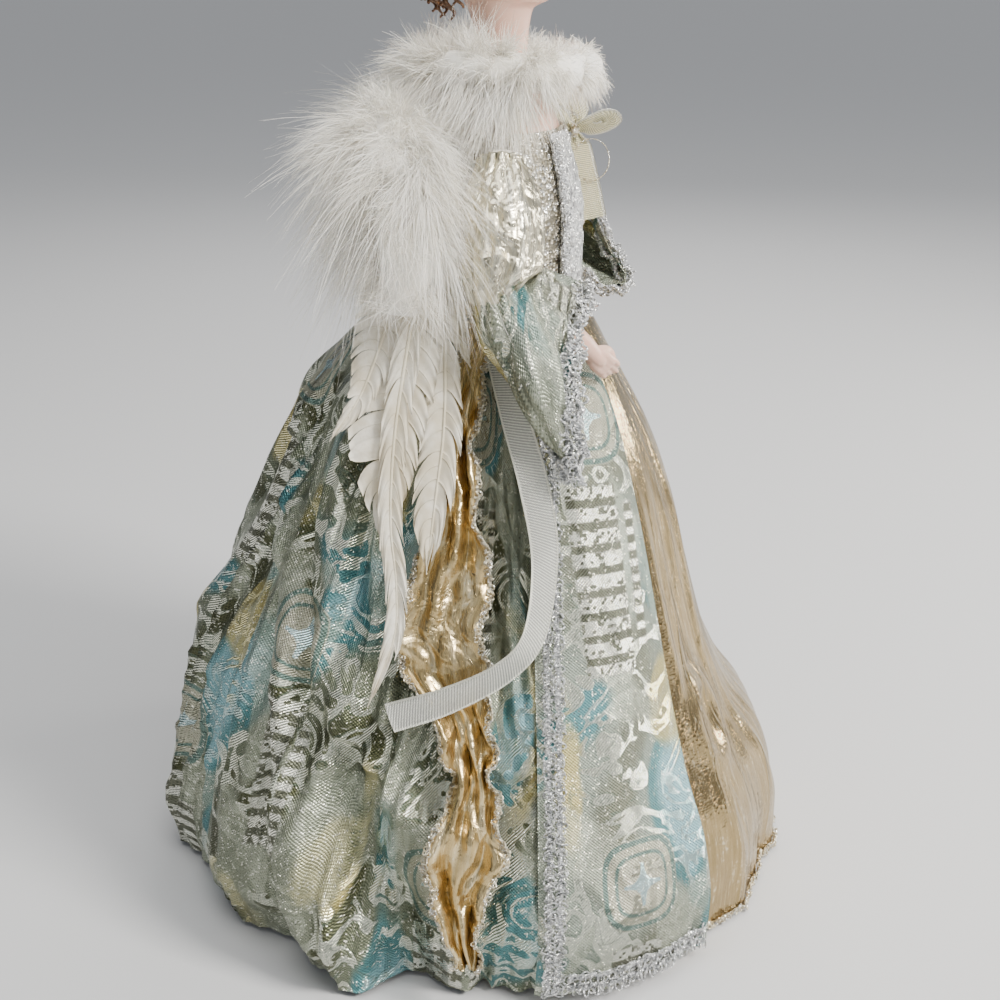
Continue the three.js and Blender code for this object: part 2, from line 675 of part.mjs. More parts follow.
// Wings: a card strip runs out from the bracket and down behind the down feathers
const bracketFoot = wingRootHeight - bracketHeight * 0.75;
const backOfBodice = bodySize(bracketFoot)[1] + clothWall + nip * 2 - bodyShift;
const bracketBack = backOfBodice + bracketThickness;
const wingRouteShares = [[0.1, -0.02, 0.02], [0.36, -0.01, 0.1], [0.64, -0.06, 0.1],
  [0.84, -0.13, -0.02], [0.97, -0.17, -0.2], [1.06, -0.17, -0.38], [1.12, -0.15, -0.56]];

const wingPath = new THREE.CatmullRomCurve3(wingRouteShares.map(([out, backward, up]) => point(
  -out * wingSpan, bracketBack + downHalfThickness + frameThickness + nip * 2
  + backward * wingSpan, wingRootHeight + up * wingLength)));
const downShares = [[0, 0.45], [0.12, 0.7], [0.28, 0.9], [0.42, 1], [0.56, 1],
  [0.72, 1], [0.88, 0.85], [1, 0.5]];

// Rings along the wing, whose broad side turns from upright to fore and aft
function wingSections(sizes, halfThickness, shift, count) {
  return sizes.map(([share, size]) => {
    const turned = ease(share, 0.1, 0.5);
    return ringOn(wingPath, share, size, halfThickness, point(0, turned, 1 - turned), count,
      shift);
  });
}

function makeDown() {
  const sizes = downShares.map(([share, size]) => [share, size * downHalfWidth]);
  return loft(wingSections(sizes, downHalfThickness, 0, 12));
}

function makeWingFrame() {
  const sizes = downShares.slice(0, -1).map(([share]) => [share, frameHalfWidth]);
  return loft(wingSections(sizes, frameThickness / 2,
    downHalfThickness + nip + frameThickness / 2, 6));
}

// Vane feathers: each lies in its own layer of one slanting sheet. Root and tip are shares
// of the longest fall: the distance behind the body's axis, and down from the wing's root
const featherSlopeShare = 0.4;
const feathers = [
  { name: 'outer', root: [0.2, 0.2], tip: [0.381, 0.65], wide: 1 },
  { name: 'second', root: [0.19, 0.257], tip: [0.36, 0.907], wide: 1.2 },
  { name: 'tail', root: [0.193, 0.3], tip: [0.293, 1.293], wide: 0.75 },
  { name: 'front', root: [0.15, 0.286], tip: [0.129, 0.971], wide: 0.95 },
  { name: 'short', root: [0.129, 0.229], tip: [0.086, 0.514], wide: 0.6 },
];
const vaneShares = [[0, 0.12], [0.16, 0.5], [0.34, 0.92], [0.54, 1], [0.74, 0.86],
  [0.9, 0.5], [1, 0.08]];

function makeFeather({ root, tip, wide }, order) {
  const layerOut = order * (featherThickness + nip);
  return loft(vaneShares.map(([share, broad]) => {
    const back = featherFall * mix(root[0], tip[0], share);
    const drop = featherFall * mix(root[1], tip[1], share);
    const bow = Math.sin(share * Math.PI) * featherHalfWidth * 0.25;
    const out = featherSheetOut + (drop - featherSheetDrop) * featherSlopeShare;
    const centre = point(layerOut - out, back - bow, wingRootHeight - drop);
    const half = broad * wide * featherHalfWidth;
    const edge = (across, lift) => centre.clone()
      .add(point(lift * featherThickness / 2, across * half, 0));
    return [edge(1, 0), edge(0, 1), edge(-1, 0), edge(0, -1)];
  }));
}

function makeBracket() {
  return new THREE.BoxGeometry(bracketWidth, bracketThickness, bracketHeight)
    .translate(0, backOfBodice + bracketThickness / 2, bracketFoot + bracketHeight / 2);
}

// Organza bow: two loops and a pair of tails in one flat outline, held by the raised hand
function makeBow() {
  const outline = new THREE.Shape();
  const half = bowTailWidth / 2;
  outline.moveTo(half, 0);
  outline.lineTo(bowLoopLength, -bowLoopWidth * 0.3);
  outline.quadraticCurveTo(bowLoopLength * 1.2, bowLoopWidth * 0.3, half, half);
  outline.quadraticCurveTo(0, bowLoopLength * 1.1, -bowLoopWidth, bowLoopLength);
  outline.quadraticCurveTo(-bowLoopLength, bowLoopLength * 0.5, -half, 0);
  outline.lineTo(0, -bowTailLength);
  outline.lineTo(bowTailWidth * 1.1, -bowTailLength);
  const geometry = new THREE.ExtrudeGeometry(outline,
    { depth: bowThickness, bevelEnabled: false, curveSegments: 5 });
  const hand = armPaths.left.getPoint(1);
  return geometry.rotateX(Math.PI / 2).rotateZ(-Math.PI / 2)
    .translate(hand.x - bowThickness - nip, hand.y - bowLoopWidth / 2, hand.z);
}

const finishes = {
  brocade: [0x8fa3a0, 0.55, 0.25],
  lame: [0xb79a5e, 0.35, 0.6],
  braid: [0xb9b9b4, 0.4, 0.6],
  lace: [0xc4bfae, 0.5, 0.4],
  down: [0xefebe2, 0.9, 0],
  vane: [0xe8e0cf, 0.7, 0],
  porcelain: [0xe8bfa6, 0.3, 0],
  hair: [0x5a3a22, 0.6, 0],
  organza: [0xe3d9a4, 0.5, 0.1],
  sheer: [0xa9aca6, 0.4, 0.4],
  stuffing: [0xe9e2d6, 0.9, 0],
  card: [0xa98c66, 0.9, 0],
  board: [0x9c7a52, 0.8, 0],
};

const angel = new THREE.Group();

function add(name, finish, geometry) {
  const [color, roughness, metalness] = finishes[finish];
  const mesh = new THREE.Mesh(geometry,
    new THREE.MeshStandardMaterial({ color, roughness, metalness }));
  mesh.name = name;
  angel.add(mesh);
}

add('base_board', 'board', makeBoard());
add('skirt_cone', 'card', makeCone());
add('torso_form', 'stuffing', makeTorso());
add('bust', 'porcelain', makeBust());
add('wig', 'hair', makeWig());
add('feather_collar', 'down', makeCollar());
add('bodice', 'lace', makeBodice());
add('bodice_lace', 'braid', makeLace());
add('waistband', 'lame', makeWaistband());
add('underskirt', 'lame', makeUnderskirt());
add('underskirt_hem_cord', 'lame', makeHemCord());
add('overskirt', 'brocade', makeOverskirt());
add('wing_bracket', 'card', makeBracket());
add('bow', 'organza', makeBow());

for (const side of ['right', 'left']) {
  add(`${side}_upper_arm`, 'stuffing', makeUpperArm(side));
  add(`${side}_hand`, 'porcelain', makeHand(side));
  add(`${side}_sleeve`, 'brocade', makeSleeve(side));
  add(`${side}_cuff_braid`, 'braid', makeCuff(side));
}

// Pieces that are alike on both sides: made on the right, and mirrored
function addPair(name, finish, geometry) {
  add(`right_${name}`, finish, geometry);
  add(`left_${name}`, finish, mirrored(geometry));
}

addPair('tabard', 'brocade', makeTabard(-1));
addPair('tabard_side_braid', 'braid', makeSideBraid(-1));
addPair('tabard_foot_braid', 'braid', makeFootBraid(-1));
addPair('sash', 'lame', makeSash(-1));
addPair('ribbon', 'sheer', makeRibbon(-1));
addPair('wing_frame', 'card', makeWingFrame());
addPair('wing_down', 'down', makeDown());
feathers.forEach((feather, order) => {
  addPair(`feather_${feather.name}`, 'vane', makeFeather(feather, order));
});

export default angel;
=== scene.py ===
"""Standing angel figurine: porcelain bust, brocade and gold lame gown, feather wings.

Sizes in the classes are millimetres, as on a maker's drawing. The figure faces -Y, its
right side is -X, and a turn of 0 is the front, 90 its left side and 180 its back.
"""
import logging
import math
from dataclasses import dataclass
from enum import Enum
from typing import Callable, Sequence

import bmesh
import bpy
import numpy as np
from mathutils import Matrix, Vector


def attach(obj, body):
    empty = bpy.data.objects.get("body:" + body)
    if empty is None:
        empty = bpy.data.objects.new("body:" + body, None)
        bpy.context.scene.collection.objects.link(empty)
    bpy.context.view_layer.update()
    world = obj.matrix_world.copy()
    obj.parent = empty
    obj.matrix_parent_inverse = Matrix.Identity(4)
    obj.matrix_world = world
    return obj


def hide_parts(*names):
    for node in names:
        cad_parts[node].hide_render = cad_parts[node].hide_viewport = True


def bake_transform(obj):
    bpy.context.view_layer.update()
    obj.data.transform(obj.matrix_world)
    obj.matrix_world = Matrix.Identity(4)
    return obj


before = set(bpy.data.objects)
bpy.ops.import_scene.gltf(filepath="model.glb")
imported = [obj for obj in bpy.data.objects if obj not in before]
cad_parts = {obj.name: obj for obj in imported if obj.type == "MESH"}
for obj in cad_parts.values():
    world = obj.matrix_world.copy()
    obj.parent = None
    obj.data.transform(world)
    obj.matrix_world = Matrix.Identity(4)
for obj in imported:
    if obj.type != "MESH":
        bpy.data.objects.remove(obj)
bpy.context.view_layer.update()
MM = 0.001
log = logging.getLogger("angel")


class Side(Enum):
    """The figure's own right and left; the value is the sign of X."""

    RIGHT = -1
    LEFT = 1

    @property
    def word(self) -> str:
        """The side's name as the nodes have it."""
        return self.name.lower()


def ease(value: np.ndarray, low: float, high: float) -> np.ndarray:
    """Rise smoothly from 0 at low to 1 at high."""
    share = np.clip((np.asarray(value, float) - low) / (high - low), 0, 1)
    return share * share * (3 - 2 * share)


def curve(table: Sequence[Sequence[float]], at: np.ndarray) -> np.ndarray:
    """Read a smooth line through a table of places.

    Args:
        table: Rows of a place and one or more values.
        at: Places to read.

    Returns:
        The values at those places, without overshoot between the rows.
    """
    rows = np.asarray(table, float)
    x, y = rows[:, 0], rows[:, 1:]
    at = np.asarray(at, float)
    run = np.diff(x)[:, None]
    slope = np.diff(y, axis=0) / run
    tangent = np.zeros_like(y)
    tangent[0], tangent[-1] = slope[0], slope[-1]
    same = slope[:-1] * slope[1:] > 0
    total = slope[:-1] + slope[1:]
    safe = np.where(same, total, 1)
    tangent[1:-1] = np.where(same, 2 * slope[:-1] * slope[1:] / safe, 0)
    i = np.clip(np.searchsorted(x, at) - 1, 0, len(x) - 2)
    h = (x[i + 1] - x[i])[..., None]
    t = np.clip((at - x[i]) / (x[i + 1] - x[i]), 0, 1)[..., None]
    value = ((2 * t ** 3 - 3 * t ** 2 + 1) * y[i] + (t ** 3 - 2 * t ** 2 + t) * h * tangent[i]
             + (3 * t ** 2 - 2 * t ** 3) * y[i + 1] + (t ** 3 - t ** 2) * h * tangent[i + 1])
    return value[..., 0] if y.shape[1] == 1 else value


def spline(points: Sequence[Sequence[float]], count: int) -> np.ndarray:
    """Points at even steps along a smooth line through the given ones.

    Args:
        points: The places that the line goes through.
        count: How many points to return.

    Returns:
        An array of count points.
    """
    knots = np.asarray(points, float)
    steps = np.linalg.norm(np.diff(knots, axis=0), axis=1)
    at = np.concatenate([[0], np.cumsum(np.maximum(steps, 1e-9))]) / steps.sum()
    padded = np.vstack([2 * knots[0] - knots[1], knots, 2 * knots[-1] - knots[-2]])
    share = np.linspace(0, 1, count)
    i = np.clip(np.searchsorted(at, share) - 1, 0, len(knots) - 2)
    t = ((share - at[i]) / (at[i + 1] - at[i]))[:, None]
    a, b, c, d = padded[i], padded[i + 1], padded[i + 2], padded[i + 3]
    return 0.5 * (2 * b + (c - a) * t + (2 * a - 5 * b + 4 * c - d) * t ** 2
                  + (3 * b - a - 3 * c + d) * t ** 3)


def unit(vectors: np.ndarray) -> np.ndarray:
    """Scale vectors to a length of one."""
    vectors = np.asarray(vectors, float)
    return vectors / np.maximum(np.linalg.norm(vectors, axis=-1, keepdims=True), 1e-12)


def run_of(points: np.ndarray) -> np.ndarray:
    """Distance run along a line of points, or down each column of a grid of points."""
    steps = np.linalg.norm(np.diff(points, axis=0), axis=-1)
    return np.concatenate([np.zeros((1, *steps.shape[1:])), np.cumsum(steps, axis=0)])


class Ripple:
    """Smooth seeded noise for folds and crinkles, from about -1 to 1."""

    def __init__(self, seed: int) -> None:
        """Fix the noise by its seed."""
        rng = np.random.default_rng(seed)
        self.order = rng.permutation(256)
        self.slopes = unit(rng.normal(size=(256, 3)))

    def __call__(self, x: np.ndarray, y: np.ndarray = 0.0, z: np.ndarray = 0.0) -> np.ndarray:
        """Read the noise.

        Args:
            x: First coordinate; one unit is about one hump.
            y: Second coordinate.
            z: Third coordinate.

        Returns:
            One value for each place.
        """
        at = np.stack(np.broadcast_arrays(*(np.asarray(v, float) for v in (x, y, z))), -1)
        cell = np.floor(at).astype(int)
        part = at - cell
        blend = part ** 3 * (part * (part * 6 - 15) + 10)
        total = np.zeros(at.shape[:-1])
        for corner in np.ndindex(2, 2, 2):
            step = np.asarray(corner)
            index = cell + step
            key = self.order[(self.order[(self.order[index[..., 0] & 255] + index[..., 1]) & 255]
                              + index[..., 2]) & 255]
            reach = np.sum(self.slopes[key] * (part - step), -1)
            total += reach * np.prod(np.where(step == 1, blend, 1 - blend), -1)
        return total * 1.6


def make_piece(name: str, points: np.ndarray, faces: Sequence, material: bpy.types.Material,
               uv: np.ndarray | None = None, merge: float = 0.0) -> bpy.types.Object:
    """Make a smooth mesh object from points in millimetres.

    Args:
        name: Name of the piece.
        points: Its points.
        faces: Corner numbers of each face.
        material: Its finish.
        uv: Place of each point on the flat cloth, in metres.
        merge: Distance in millimetres under which points are joined.

    Returns:
        The new object, at the origin, with its place in its mesh.
    """
    mesh = bpy.data.meshes.new(name)
    mesh.from_pydata((np.asarray(points).reshape(-1, 3) * MM).tolist(), [],
                     faces.tolist() if isinstance(faces, np.ndarray) else faces)
    if uv is not None:
        corners = np.zeros(len(mesh.loops), np.int32)
        mesh.loops.foreach_get("vertex_index", corners)
        layer = mesh.uv_layers.new(name="cloth")
        layer.data.foreach_set("uv", np.asarray(uv, np.float32).reshape(-1, 2)[corners].ravel())
    mesh.materials.append(material)
    if merge > 0:
        shape = bmesh.new()
        shape.from_mesh(mesh)
        bmesh.ops.remove_doubles(shape, verts=shape.verts, dist=merge * MM)
        shape.to_mesh(mesh)
        shape.free()
    mesh.shade_smooth()
    piece = bpy.data.objects.new(name, mesh)
    bpy.context.scene.collection.objects.link(piece)
    return piece


def recalculate(piece: bpy.types.Object) -> None:
    """Turn a closed piece's faces outwards."""
    shape = bmesh.new()
    shape.from_mesh(piece.data)
    bmesh.ops.recalc_face_normals(shape, faces=shape.faces)
    shape.to_mesh(piece.data)
    shape.free()


def grid_faces(rows: int, columns: int, start: int = 0, flip: bool = False,
               around: bool = False) -> np.ndarray:
    """Number the four corners of each cell of a grid of points.

    Args:
        rows: Rows of points.
        columns: Points in a row.
        start: Number of the grid's first point.
        flip: Turn the faces the other way.
        around: Join the last column to the first.

    Returns:
        One row of four numbers for each cell.
    """
    i, j = np.meshgrid(np.arange(rows - 1), np.arange(columns if around else columns - 1),
                       indexing="ij")
    k = (j + 1) % columns
    cells = np.stack([i * columns + j, i * columns + k, (i + 1) * columns + k,
                      (i + 1) * columns + j], -1).reshape(-1, 4) + start
    return cells[:, ::-1] if flip else cells


def ring_form(name: str, points: np.ndarray, material: bpy.types.Material) -> bpy.types.Object:
    """Make a closed form from rings of points, one row for each ring, capped at both ends.

    Args:
        name: Name of the piece.
        points: Its points, by ring.
        material: Its finish.

    Returns:
        The closed piece.
    """
    rows, columns = points.shape[:2]
    faces = grid_faces(rows, columns, 0, False, True).tolist()
    faces += [list(range(columns))[::-1], list(range((rows - 1) * columns, rows * columns))]
    piece = make_piece(name, points, faces, material)
    recalculate(piece)
    return piece


def surface_normals(grid: np.ndarray, around: bool = False) -> np.ndarray:
    """Unit normals of a grid of points, from its rows and columns."""
    if around:
        wide = np.concatenate([grid[:, -1:], grid, grid[:, :1]], 1)
        across = np.gradient(wide, axis=1)[:, 1:-1]
    else:
        across = np.gradient(grid, axis=1)
    return unit(np.cross(np.gradient(grid, axis=0), across))


def cloth_wall(name: str, grid: np.ndarray, uv: np.ndarray, material: bpy.types.Material,
               thickness: float = 0.6, around: bool = False) -> bpy.types.Object:
    """Make a sheet of cloth with a small thickness from a grid of points.

    Args:
        name: Name of the piece.
        grid: Points of its outer face, by row and column.
        uv: Place of each point on the flat cloth, in metres.
        material: Its finish.
        thickness: Thickness in millimetres, on the inner side.
        around: The last column meets the first, at the same points.

    Returns:
        The new closed mesh object.
    """
    rows, columns = grid.shape[:2]
    if around:
        normals = surface_normals(grid[:, :-1], True)
        normals = np.concatenate([normals, normals[:, :1]], 1)
    else:
        normals = surface_normals(grid)
    inner = grid - normals * thickness
    half = rows * columns
    first = grid_faces(rows, columns)
    second = grid_faces(rows, columns, half, True)
    number = np.arange(half).reshape(rows, columns)
    edges = [number[0][::-1], number[-1]]
    if not around:
        edges += [number[:, 0], number[:, -1][::-1]]
    rims = [np.stack([line[1:], line[:-1], line[:-1] + half, line[1:] + half], -1)
            for line in edges]
    faces = np.concatenate([first, second, *rims])
    piece = make_piece(name, np.concatenate([grid.reshape(-1, 3), inner.reshape(-1, 3)]),
                       faces, material, np.concatenate([uv.reshape(-1, 2)] * 2),
                       0.001 if around else 0)
    outward(piece)
    return piece


def outward(piece: bpy.types.Object) -> None:
    """Turn every face of a closed mesh round if its volume is negative."""
    mesh = piece.data
    points = np.zeros(len(mesh.vertices) * 3)
    mesh.vertices.foreach_get("co", points)
    points = points.reshape(-1, 3)
    mesh.calc_loop_triangles()
    corners = np.zeros(len(mesh.loop_triangles) * 3, np.int32)
    mesh.loop_triangles.foreach_get("vertices", corners)
    a, b, c = (points[corners.reshape(-1, 3)[:, n]] for n in range(3))
    if np.sum(a * np.cross(b, c)) < 0:
        mesh.flip_normals()


def frames_along(line: np.ndarray, up: Sequence[float] = (0, 0, 1)) -> tuple:
    """Directions along, across and out at each point of a line.

    Args:
        line: Points of the line.
        up: Direction that the first frame's out side is nearest to.

    Returns:
        Three arrays of unit vectors; out turns as little as the line lets it.
    """
    along = unit(np.gradient(line, axis=0))
    out = np.zeros_like(line)
    side = np.asarray(up, float)
    for i, direction in enumerate(along):
        side = side - direction * np.dot(side, direction)
        side = side / max(np.linalg.norm(side), 1e-9)
        out[i] = side
    return along, np.cross(along, out), out


def tube(line: np.ndarray, radius: np.ndarray, sides: int = 6,
         flat: float = 1.0, up: Sequence[float] = (0, 0, 1)) -> tuple[np.ndarray, list]:
    """Points and faces of a closed round bar along a line.

    Args:
        line: Its centre line.
        radius: One radius, or one for each point of the line.
        sides: Faces around it.
        flat: Thickness as a share of the width.
        up: Direction of the thickness at its start.

    Returns:
        The points and the faces.
    """
    line = np.asarray(line, float)
    _, across, out = frames_along(line, up)
    size = np.broadcast_to(np.asarray(radius, float), len(line))[:, None, None]
    angle = np.linspace(0, 2 * np.pi, sides, endpoint=False)
    ring = (across[:, None] * np.cos(angle)[:, None] + out[:, None] * np.sin(angle)[:, None]
            * flat) * size + line[:, None]
    faces = grid_faces(len(line), sides, 0, True, True).tolist()
    faces += [list(range(sides)), list(range((len(line) - 1) * sides, len(line) * sides))[::-1]]
    return ring.reshape(-1, 3), faces


class Heap:
    """Gathers points and faces of many small forms into one piece."""

    def __init__(self) -> None:
        """Start with nothing."""
        self.points: list[np.ndarray] = []
        self.faces: list = []
        self.count = 0

    def put(self, points: np.ndarray, faces: Sequence) -> None:
        """Add one form."""
        points = np.asarray(points).reshape(-1, 3)
        self.points.append(points)
        self.faces += [[corner + self.count for corner in face] for face in faces]
        self.count += len(points)

    def piece(self, name: str, material: bpy.types.Material) -> bpy.types.Object:
        """Make the object."""
        piece = make_piece(name, np.concatenate(self.points), self.faces, material)
        recalculate(piece)
        return piece


Socket = bpy.types.NodeSocket
Value = float | Sequence[float] | Socket


class Wiring:
    """Adds nodes to a tree; a value is a number, a colour or another node's socket."""

    def __init__(self, tree: bpy.types.NodeTree) -> None:
        """Work on one tree."""
        self.tree = tree
        self.place = 0

    def put(self, socket: Socket, value: Value) -> None:
        """Link a socket to another, or set its value."""
        if isinstance(value, bpy.types.NodeSocket):
            self.tree.links.new(value, socket)
        elif socket.type == "RGBA" and not isinstance(value, (int, float)):
            socket.default_value = (*value[:3], 1.0)
        else:
            socket.default_value = value

    def node(self, kind: str, settings: dict | None = None,
             **values: Value) -> bpy.types.Node:
        """Add a node.

        Args:
            kind: Its type, without the leading words that all shader nodes share.
            settings: Options of the node.
            **values: Its inputs by name, with _ for a space.

        Returns:
            The new node.
        """
        node = self.tree.nodes.new(kind if kind.startswith(("Node", "Geometry", "Shader",
                                                            "Function")) else f"ShaderNode{kind}")
        self.place += 1
        node.location = (220 * (self.place % 12), -240 * (self.place // 12))
        for key, value in (settings or {}).items():
            setattr(node, key, value)
        for key, value in values.items():
            self.put(node.inputs[key.replace("_", " ")], value)
        return node

    def math(self, operation: str, *values: Value, clamp: bool = False) -> Socket:
        """Add a Math node and return its output."""
        node = self.node("Math", {"operation": operation, "use_clamp": clamp})
        for socket, value in zip(node.inputs, values):
            self.put(socket, value)
        return node.outputs[0]

    def vector(self, operation: str, *values: Value) -> Socket:
        """Add a Vector Math node and return its output."""
        node = self.node("VectorMath", {"operation": operation})
        for socket, value in zip([s for s in node.inputs if s.type == "VECTOR"], values):
            self.put(socket, value)
        return node.outputs["Value" if operation in ("LENGTH", "DOT_PRODUCT") else "Vector"]

    def scaled(self, vector: Value, amount: Value) -> Socket:
        """Scale a vector by one number."""
        node = self.node("VectorMath", {"operation": "SCALE"})
        self.put(node.inputs[0], vector)
        self.put(node.inputs["Scale"], amount)
        return node.outputs["Vector"]

    def step(self, value: Value, low: Value, high: Value, start: float = 0.0,
             end: float = 1.0) -> Socket:
        """Rise smoothly from start to end while the value goes from low to high."""
        node = self.node("MapRange", {"interpolation_type": "SMOOTHSTEP"}, Value=value,
                         From_Min=low, From_Max=high, To_Min=start, To_Max=end)
        return node.outputs[0]

    def band(self, value: Value, low: float, high: float, soft: float) -> Socket:
        """Give 1 between two values and 0 outside them, with soft ends."""
        rise = self.step(value, low - soft, low + soft)
        drop = self.step(value, high - soft, high + soft, 1.0, 0.0)
        return self.math("MULTIPLY", rise, drop)

    def paint(self, share: Value, low: Value, high: Value, mode: str = "MIX") -> Socket:
        """Mix two colours by a share."""
        node = self.node("Mix", {"data_type": "RGBA", "blend_type": mode})
        self.put(node.inputs[0], share)
        self.put(node.inputs[6], low)
        self.put(node.inputs[7], high)
        return node.outputs[2]

    def noise(self, vector: Value, scale: Value, detail: float = 2.0, rough: float = 0.5,
              distortion: float = 0.0) -> bpy.types.Node:
        """Add a Noise Texture."""
        return self.node("TexNoise", None, Vector=vector, Scale=scale, Detail=detail,
                         Roughness=rough, Distortion=distortion)

    def split(self, vector: Value) -> tuple[Socket, Socket, Socket]:
        """Split a vector into its three parts."""
        node = self.node("SeparateXYZ", None, Vector=vector)
        return tuple(node.outputs)

    def join(self, x: Value, y: Value, z: Value = 0.0) -> Socket:
        """Join three numbers to a vector."""
        return self.node("CombineXYZ", None, X=x, Y=y, Z=z).outputs[0]

    def flat(self) -> Socket:
        """The place on the flat cloth, in metres."""
        return self.node("UVMap", {"uv_map": "cloth"}).outputs[0]

    def solid(self) -> Socket:
        """The place in space, in metres."""
        return self.node("TexCoord").outputs["Object"]

    def bump(self, height: Value, distance: float, strength: float = 1.0,
             normal: Value | None = None) -> Socket:
        """Turn a height into a normal."""
        node = self.node("Bump", None, Height=height, Distance=distance, Strength=strength)
        if normal is not None:
            self.put(node.inputs["Normal"], normal)
        return node.outputs[0]

    def group(self, tree: bpy.types.NodeTree, **values: Value) -> bpy.types.Node:
        """Place a shared group."""
        return self.node("Group", {"node_tree": tree}, **values)


class SharedEffects:
    """Shader groups that several finishes use."""

    def __init__(self) -> None:
        """Build each group once."""
        self.threads = self._threads()
        self.glitter = self._glitter()
        self.crinkle = self._crinkle()
        self.tone = self._tone()

    @staticmethod
    def _start(name: str, inputs: dict[str, str], outputs: dict[str, str]) -> tuple:
        """Open a group with its sockets.

        Args:
            name: The group's name.
            inputs: Input names and their kinds.
            outputs: Output names and their kinds.

        Returns:
            The tree, its wiring, and its input and output nodes.
        """
        tree = bpy.data.node_groups.new(name, "ShaderNodeTree")
        for names, way in ((inputs, "INPUT"), (outputs, "OUTPUT")):
            for word, kind in names.items():
                tree.interface.new_socket(name=word, in_out=way, socket_type=f"NodeSocket{kind}")
        wiring = Wiring(tree)
        return tree, wiring, wiring.node("NodeGroupInput"), wiring.node("NodeGroupOutput")

    def _threads(self) -> bpy.types.NodeTree:
        """Woven threads: their height, and a random value for each thread crossing."""
        tree, w, given, out = self._start(
            "woven_threads", {"Place": "Vector", "Pitch": "Float", "Twill": "Float"},
            {"Height": "Float", "Glint": "Float"})
        counted = w.vector("DIVIDE", given.outputs["Place"],
                           w.join(given.outputs["Pitch"], given.outputs["Pitch"], 1.0))
        u, v, _ = w.split(counted)
        turned = [w.math("MULTIPLY", part, math.tau) for part in (u, v)]
        plain = w.math("MULTIPLY", w.math("SINE", turned[0]), w.math("SINE", turned[1]))
        twill = w.math("SINE", w.math("ADD", turned[0], turned[1]))
        mixed = w.node("Mix", {"data_type": "FLOAT"})
        w.put(mixed.inputs[0], given.outputs["Twill"])
        w.put(mixed.inputs[2], plain)
        w.put(mixed.inputs[3], twill)
        cell = w.vector("FLOOR", w.scaled(counted, 2.0))
        random = w.node("TexWhiteNoise", {"noise_dimensions": "3D"}, Vector=cell)
        height = w.math("MULTIPLY_ADD", random.outputs["Value"], 0.8, mixed.outputs[0])
        w.put(out.inputs["Height"], height)
        w.put(out.inputs["Glint"], random.outputs["Value"])
        return tree

    def _glitter(self) -> bpy.types.NodeTree:
        """Metallic glitter: small facets, each tilted its own way."""
        tree, w, given, out = self._start(
            "metallic_glitter", {"Place": "Vector", "Size": "Float"},
            {"Height": "Float", "Sparkle": "Float"})
        scale = w.math("DIVIDE", 1.0, given.outputs["Size"])
        cells = w.node("TexVoronoi", {"feature": "F1"}, Vector=given.outputs["Place"],
                       Scale=scale)
        red, green, _ = w.split(cells.outputs["Color"])
        place = w.vector("SUBTRACT", w.scaled(given.outputs["Place"], scale),
                         w.scaled(cells.outputs["Position"], scale))
        px, py, pz = w.split(place)
        tilt = w.math("ADD", w.math("MULTIPLY", px, w.math("SUBTRACT", red, 0.5)),
                      w.math("MULTIPLY", w.math("ADD", py, pz), w.math("SUBTRACT", green, 0.5)))
        w.put(out.inputs["Height"], w.math("MULTIPLY_ADD", tilt, 2.0, cells.outputs["Distance"]))
        w.put(out.inputs["Sparkle"], w.step(red, 0.55, 1.0))
        return tree

    def _crinkle(self) -> bpy.types.NodeTree:
        """Creases of thin cloth, larger and smaller."""
        tree, w, given, out = self._start(
            "cloth_crinkle", {"Place": "Vector", "Scale": "Float"}, {"Height": "Float"})
        large = w.noise(given.outputs["Place"], given.outputs["Scale"], 3.0, 0.55, 0.8)
        ridge = w.math("ABSOLUTE", w.math("SUBTRACT", large.outputs["Fac"], 0.5))
        fine = w.noise(given.outputs["Place"], w.math("MULTIPLY", given.outputs["Scale"], 4.0),
                       2.0, 0.5)
        w.put(out.inputs["Height"],
              w.math("MULTIPLY_ADD", fine.outputs["Fac"], 0.2, w.math("MULTIPLY", ridge, -2.0)))
        return tree

    def _tone(self) -> bpy.types.NodeTree:
        """Slow change of tone over a piece, with a little soiling."""
        tree, w, given, out = self._start(
            "slow_tone", {"Color": "Color", "Place": "Vector", "Scale": "Float",
                          "Amount": "Float"}, {"Color": "Color"})
        cloud = w.noise(given.outputs["Place"], given.outputs["Scale"], 4.0, 0.6, 0.3)
        dark = w.step(cloud.outputs["Fac"], 0.35, 0.75)
        shade = w.math("SUBTRACT", 1.0, w.math("MULTIPLY", dark, given.outputs["Amount"]))
        w.put(out.inputs["Color"], w.paint(1.0, given.outputs["Color"],
                                           w.join(shade, shade, shade), "MULTIPLY"))
        return tree


@dataclass(frozen=True)
class Finish:
    """A surface finish; each kind draws its own colours and relief."""

    name: str
    slot: str

    def draw(self, w: Wiring, shader: bpy.types.Node, shared: SharedEffects) -> None:
        """Wire the finish to the shader."""
        raise NotImplementedError

    def material(self, shared: SharedEffects) -> bpy.types.Material:
        """Build the material.

        Args:
            shared: The groups that finishes share.

        Returns:
            The new material.
        """
        material = bpy.data.materials.new(self.name)
        material.use_nodes = True
        tree = material.node_tree
        tree.nodes.clear()
        w = Wiring(tree)
        shader = w.node("BsdfPrincipled")
        out = w.node("OutputMaterial")
        tree.links.new(shader.outputs[0], out.inputs["Surface"])
        self.draw(w, shader, shared)
        return material


